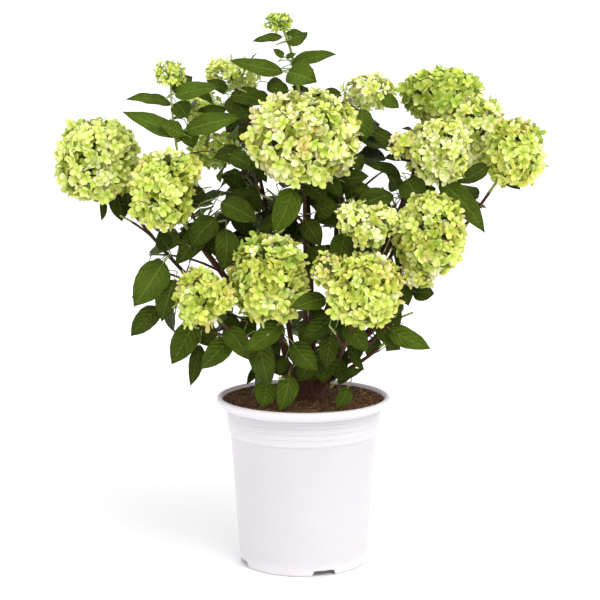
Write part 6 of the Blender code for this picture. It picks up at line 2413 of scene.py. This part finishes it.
    def stalks(self, feet: np.ndarray, tips: np.ndarray, radius: float) -> None:
        """Three-sided stalks from feet to tips.

        Args:
            feet: where each begins.
            tips: where each ends.
            radius: how thick they are.
        """
        along = tips - feet
        along /= np.linalg.norm(along, axis=1)[:, None] + 1e-9
        turns = facing(along, np.zeros(len(along)))
        angles = math.tau * np.arange(3) / 3
        ring = np.stack([np.cos(angles), np.sin(angles), np.zeros(3)], axis=1) * radius
        spread = np.einsum("kij,pj->kpi", turns, ring)
        points = np.concatenate([feet[:, None] + spread * 1.2, tips[:, None] + spread * 0.8], axis=1)
        faces = np.array([(0, 1, 4, 3), (1, 2, 5, 4), (2, 0, 3, 5), (2, 1, 0, -1), (3, 4, 5, -1)])
        self.rays.add_copies(points, faces, np.zeros(len(points), dtype=int))

    def full(self, bloom: Head, rng: np.random.Generator) -> None:
        """A dense head: an outer coat of florets, and an inner coat mostly of darker shaded florets over a
        dark green heart, both painted shade.

        Args:
            bloom: the head.
            rng: random numbers.
        """
        centre = np.array(bloom.centre)
        for coat in (self.outer, self.inner):
            directions, offsets = self.strewn(bloom, rng, coat)
            normals = self.normals(bloom, offsets, rng, coat.jitter)
            tints = self.tints(bloom, directions, rng)
            if coat is self.inner:
                # Painted shade: most florets of the inner coat take the darker shaded finish.
                tints = np.where(rng.random(len(tints)) < self.shaded_share, len(PETALS) - 1, tints)
            sizes = rng.uniform(*coat.sizes, len(offsets)) * (1.04 - 0.16 * directions[:, 2])
            self.scatter(centre + offsets, normals, tints, sizes, rng)
            if coat is self.outer:
                self.stalks(centre + offsets * self.stalk_foot, centre + offsets, coat.stalk)
        self.heart_ball(bloom)

    def heart_ball(self, bloom: Head) -> None:
        """The dark green heart that shows between florets: a closed ball that blocks the view through the
        head, its dark green painted shade.

        Args:
            bloom: the head.
        """
        rings, sides = self.heart_grid
        lean = np.linspace(-math.pi / 2, math.pi / 2, rings + 2)[1:-1]
        turn = math.tau * np.arange(sides) / sides
        grid = np.stack([np.cos(lean)[:, None] * np.cos(turn), np.cos(lean)[:, None] * np.sin(turn),
                         np.repeat(np.sin(lean)[:, None], sides, axis=1)], axis=-1).reshape(-1, 3)
        grid = np.concatenate([grid, [(0.0, 0.0, -1.0), (0.0, 0.0, 1.0)]])
        points = np.array(bloom.centre) + self.shrub.head_rule.surface(bloom, grid) * self.heart
        self.hearts.add(points, closed_walls(rings, sides), 0)

    def add_rays(self, bloom: Head, rng: np.random.Generator, count: int) -> tuple[np.ndarray, np.ndarray]:
        """The rays of an open head, from its own stem outwards and upwards.

        Args:
            bloom: the head.
            rng: random numbers.
            count: how many rays.

        Returns:
            The directions of the rays and their tips as offsets from the centre.
        """
        directions = even_directions(count, rng)
        directions = directions[directions[:, 2] > -0.75]
        tips = self.shrub.head_rule.surface(bloom, directions) * self.ray_reach
        feet = np.zeros(tips.shape)
        feet[:, 2] = np.clip(tips[:, 2] * 0.55 - bloom.high * 0.45, -bloom.high, bloom.high * 0.4)
        centre = np.array(bloom.centre)
        self.stalks(centre + feet, centre + tips, self.ray)
        return directions, tips

    def loose(self, bloom: Head, rng: np.random.Generator) -> None:
        """An open head: florets on rays that show between them.

        Args:
            bloom: the head.
            rng: random numbers.
        """
        centre = np.array(bloom.centre)
        ray_ways, ray_tips = self.add_rays(bloom, rng, self.open_rays)
        for coat in self.open_coats:
            directions, offsets = self.strewn(bloom, rng, coat)
            nearest = np.argmax(directions @ ray_ways.T, axis=1)
            self.stalks(centre + ray_tips[nearest], centre + offsets, coat.stalk)
            self.scatter(centre + offsets, self.normals(bloom, offsets, rng, coat.jitter),
                         self.tints(bloom, directions, rng), rng.uniform(*coat.sizes, len(offsets)), rng)

    def budding(self, bloom: Head, rng: np.random.Generator) -> None:
        """A head still in bud: thin rays, round buds and a few small florets.

        Args:
            bloom: the head.
            rng: random numbers.
        """
        centre, coat = np.array(bloom.centre), self.bud_coat
        ray_ways, ray_tips = self.add_rays(bloom, rng, self.bud_rays)
        directions, offsets = self.strewn(bloom, rng, coat)
        nearest = np.argmax(directions @ ray_ways.T, axis=1)
        self.stalks(centre + ray_tips[nearest], centre + offsets, coat.stalk)
        closed = rng.random(len(offsets)) < self.closed_share
        sizes = rng.uniform(*self.bud_sizes, len(offsets))[closed]
        points = LUMP[None] * sizes[:, None, None] + (centre + offsets[closed])[:, None]
        self.buds.add_copies(points, LUMP_FACES, (rng.random(len(sizes)) < self.pale_buds).astype(int))
        ways, places = directions[~closed], offsets[~closed]
        normals = self.normals(bloom, places, rng, coat.jitter)
        tints = self.tints(bloom, ways, rng)
        self.scatter(centre + places, normals, tints, rng.uniform(*coat.sizes, len(places)), rng)


# ------------------------------------------------------------------ the studio
@dataclass
class Studio:
    """A pale floor in soft light, with the camera a little above the shrub's middle."""

    camera_place: tuple[float, float, float] = (-0.0045, -2.5, 0.740)
    camera_pitch: float = 8.9
    lens: float = 116.6
    sensor: float = 36.0
    floor_size: float = 900.0
    sky: tuple[float, float, float] = (0.98, 0.98, 1.0)
    sky_strength: float = 1.06
    lamps: tuple[tuple[str, tuple[float, float, float], float, float], ...] = (
        ("key", (1.0, -1.6, 2.3), 34.0, 1.15), ("fill", (-0.6, -2.4, 0.9), 44.0, 0.16),
        ("side", (2.4, -0.9, 0.45), 30.0, 0.26))

    def build(self) -> None:
        """Lay the floor, hang the lamps and place the camera."""
        bpy.ops.object.select_all(action="DESELECT")
        bpy.ops.mesh.primitive_plane_add(size=self.floor_size, location=(0.0, 0.0, 0.0))
        floor = bpy.context.active_object
        floor.name = "pale_floor"
        floor.data.materials.append(FLOOR.material())
        for lamp in self.lamps:
            self.hang(*lamp)
        world = bpy.data.worlds.new("studio")
        world.use_nodes = True
        sky = world.node_tree.nodes["Background"]
        sky.inputs["Color"].default_value = (*self.sky, 1.0)
        sky.inputs["Strength"].default_value = self.sky_strength
        bpy.context.scene.world = world
        bpy.context.scene.view_settings.view_transform = "Standard"
        camera = bpy.data.objects.new("camera", bpy.data.cameras.new("camera"))
        camera.data.lens = self.lens
        camera.data.sensor_width = self.sensor
        camera.data.clip_end = self.floor_size
        camera.location = self.camera_place
        camera.rotation_euler = (math.radians(90.0 - self.camera_pitch), 0.0, 0.0)
        bpy.context.collection.objects.link(camera)
        bpy.context.scene.camera = camera

    @staticmethod
    def hang(name: str, place: tuple[float, float, float], spread: float, power: float) -> None:
        """Hang a wide soft lamp.

        Args:
            name: its name.
            place: a place in the direction it comes from.
            spread: how wide it is in the sky, in degrees.
            power: its strength.
        """
        light = bpy.data.lights.new(name, "SUN")
        light.angle = math.radians(spread)
        light.energy = power
        lamp = bpy.data.objects.new(name, light)
        lamp.location = place
        lamp.rotation_euler = (-Vector(place)).to_track_quat("-Z", "Y").to_euler()
        bpy.context.collection.objects.link(lamp)


def main() -> None:
    """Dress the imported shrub, piece by piece, and set the studio up."""
    logging.basicConfig(level=logging.INFO, format="%(name)s: %(message)s")
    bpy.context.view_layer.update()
    LOG.info("pot")
    NurseryPot().build()
    LOG.info("potting mix")
    PottingMix().build()
    LOG.info("growing the shrub")
    shrub = Shrub(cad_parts["potting_soil"])
    shrub.grow()
    LOG.info("woody stool and boughs")
    WoodyStool(shrub).build()
    LOG.info("shoots and stalks")
    Shoots(shrub).build()
    LOG.info("leaves")
    Foliage(shrub).build()
    LOG.info("flower heads")
    FlowerHeads(shrub).build()
    LOG.info("studio")
    Studio().build()


if __name__ == "__main__":
    main()
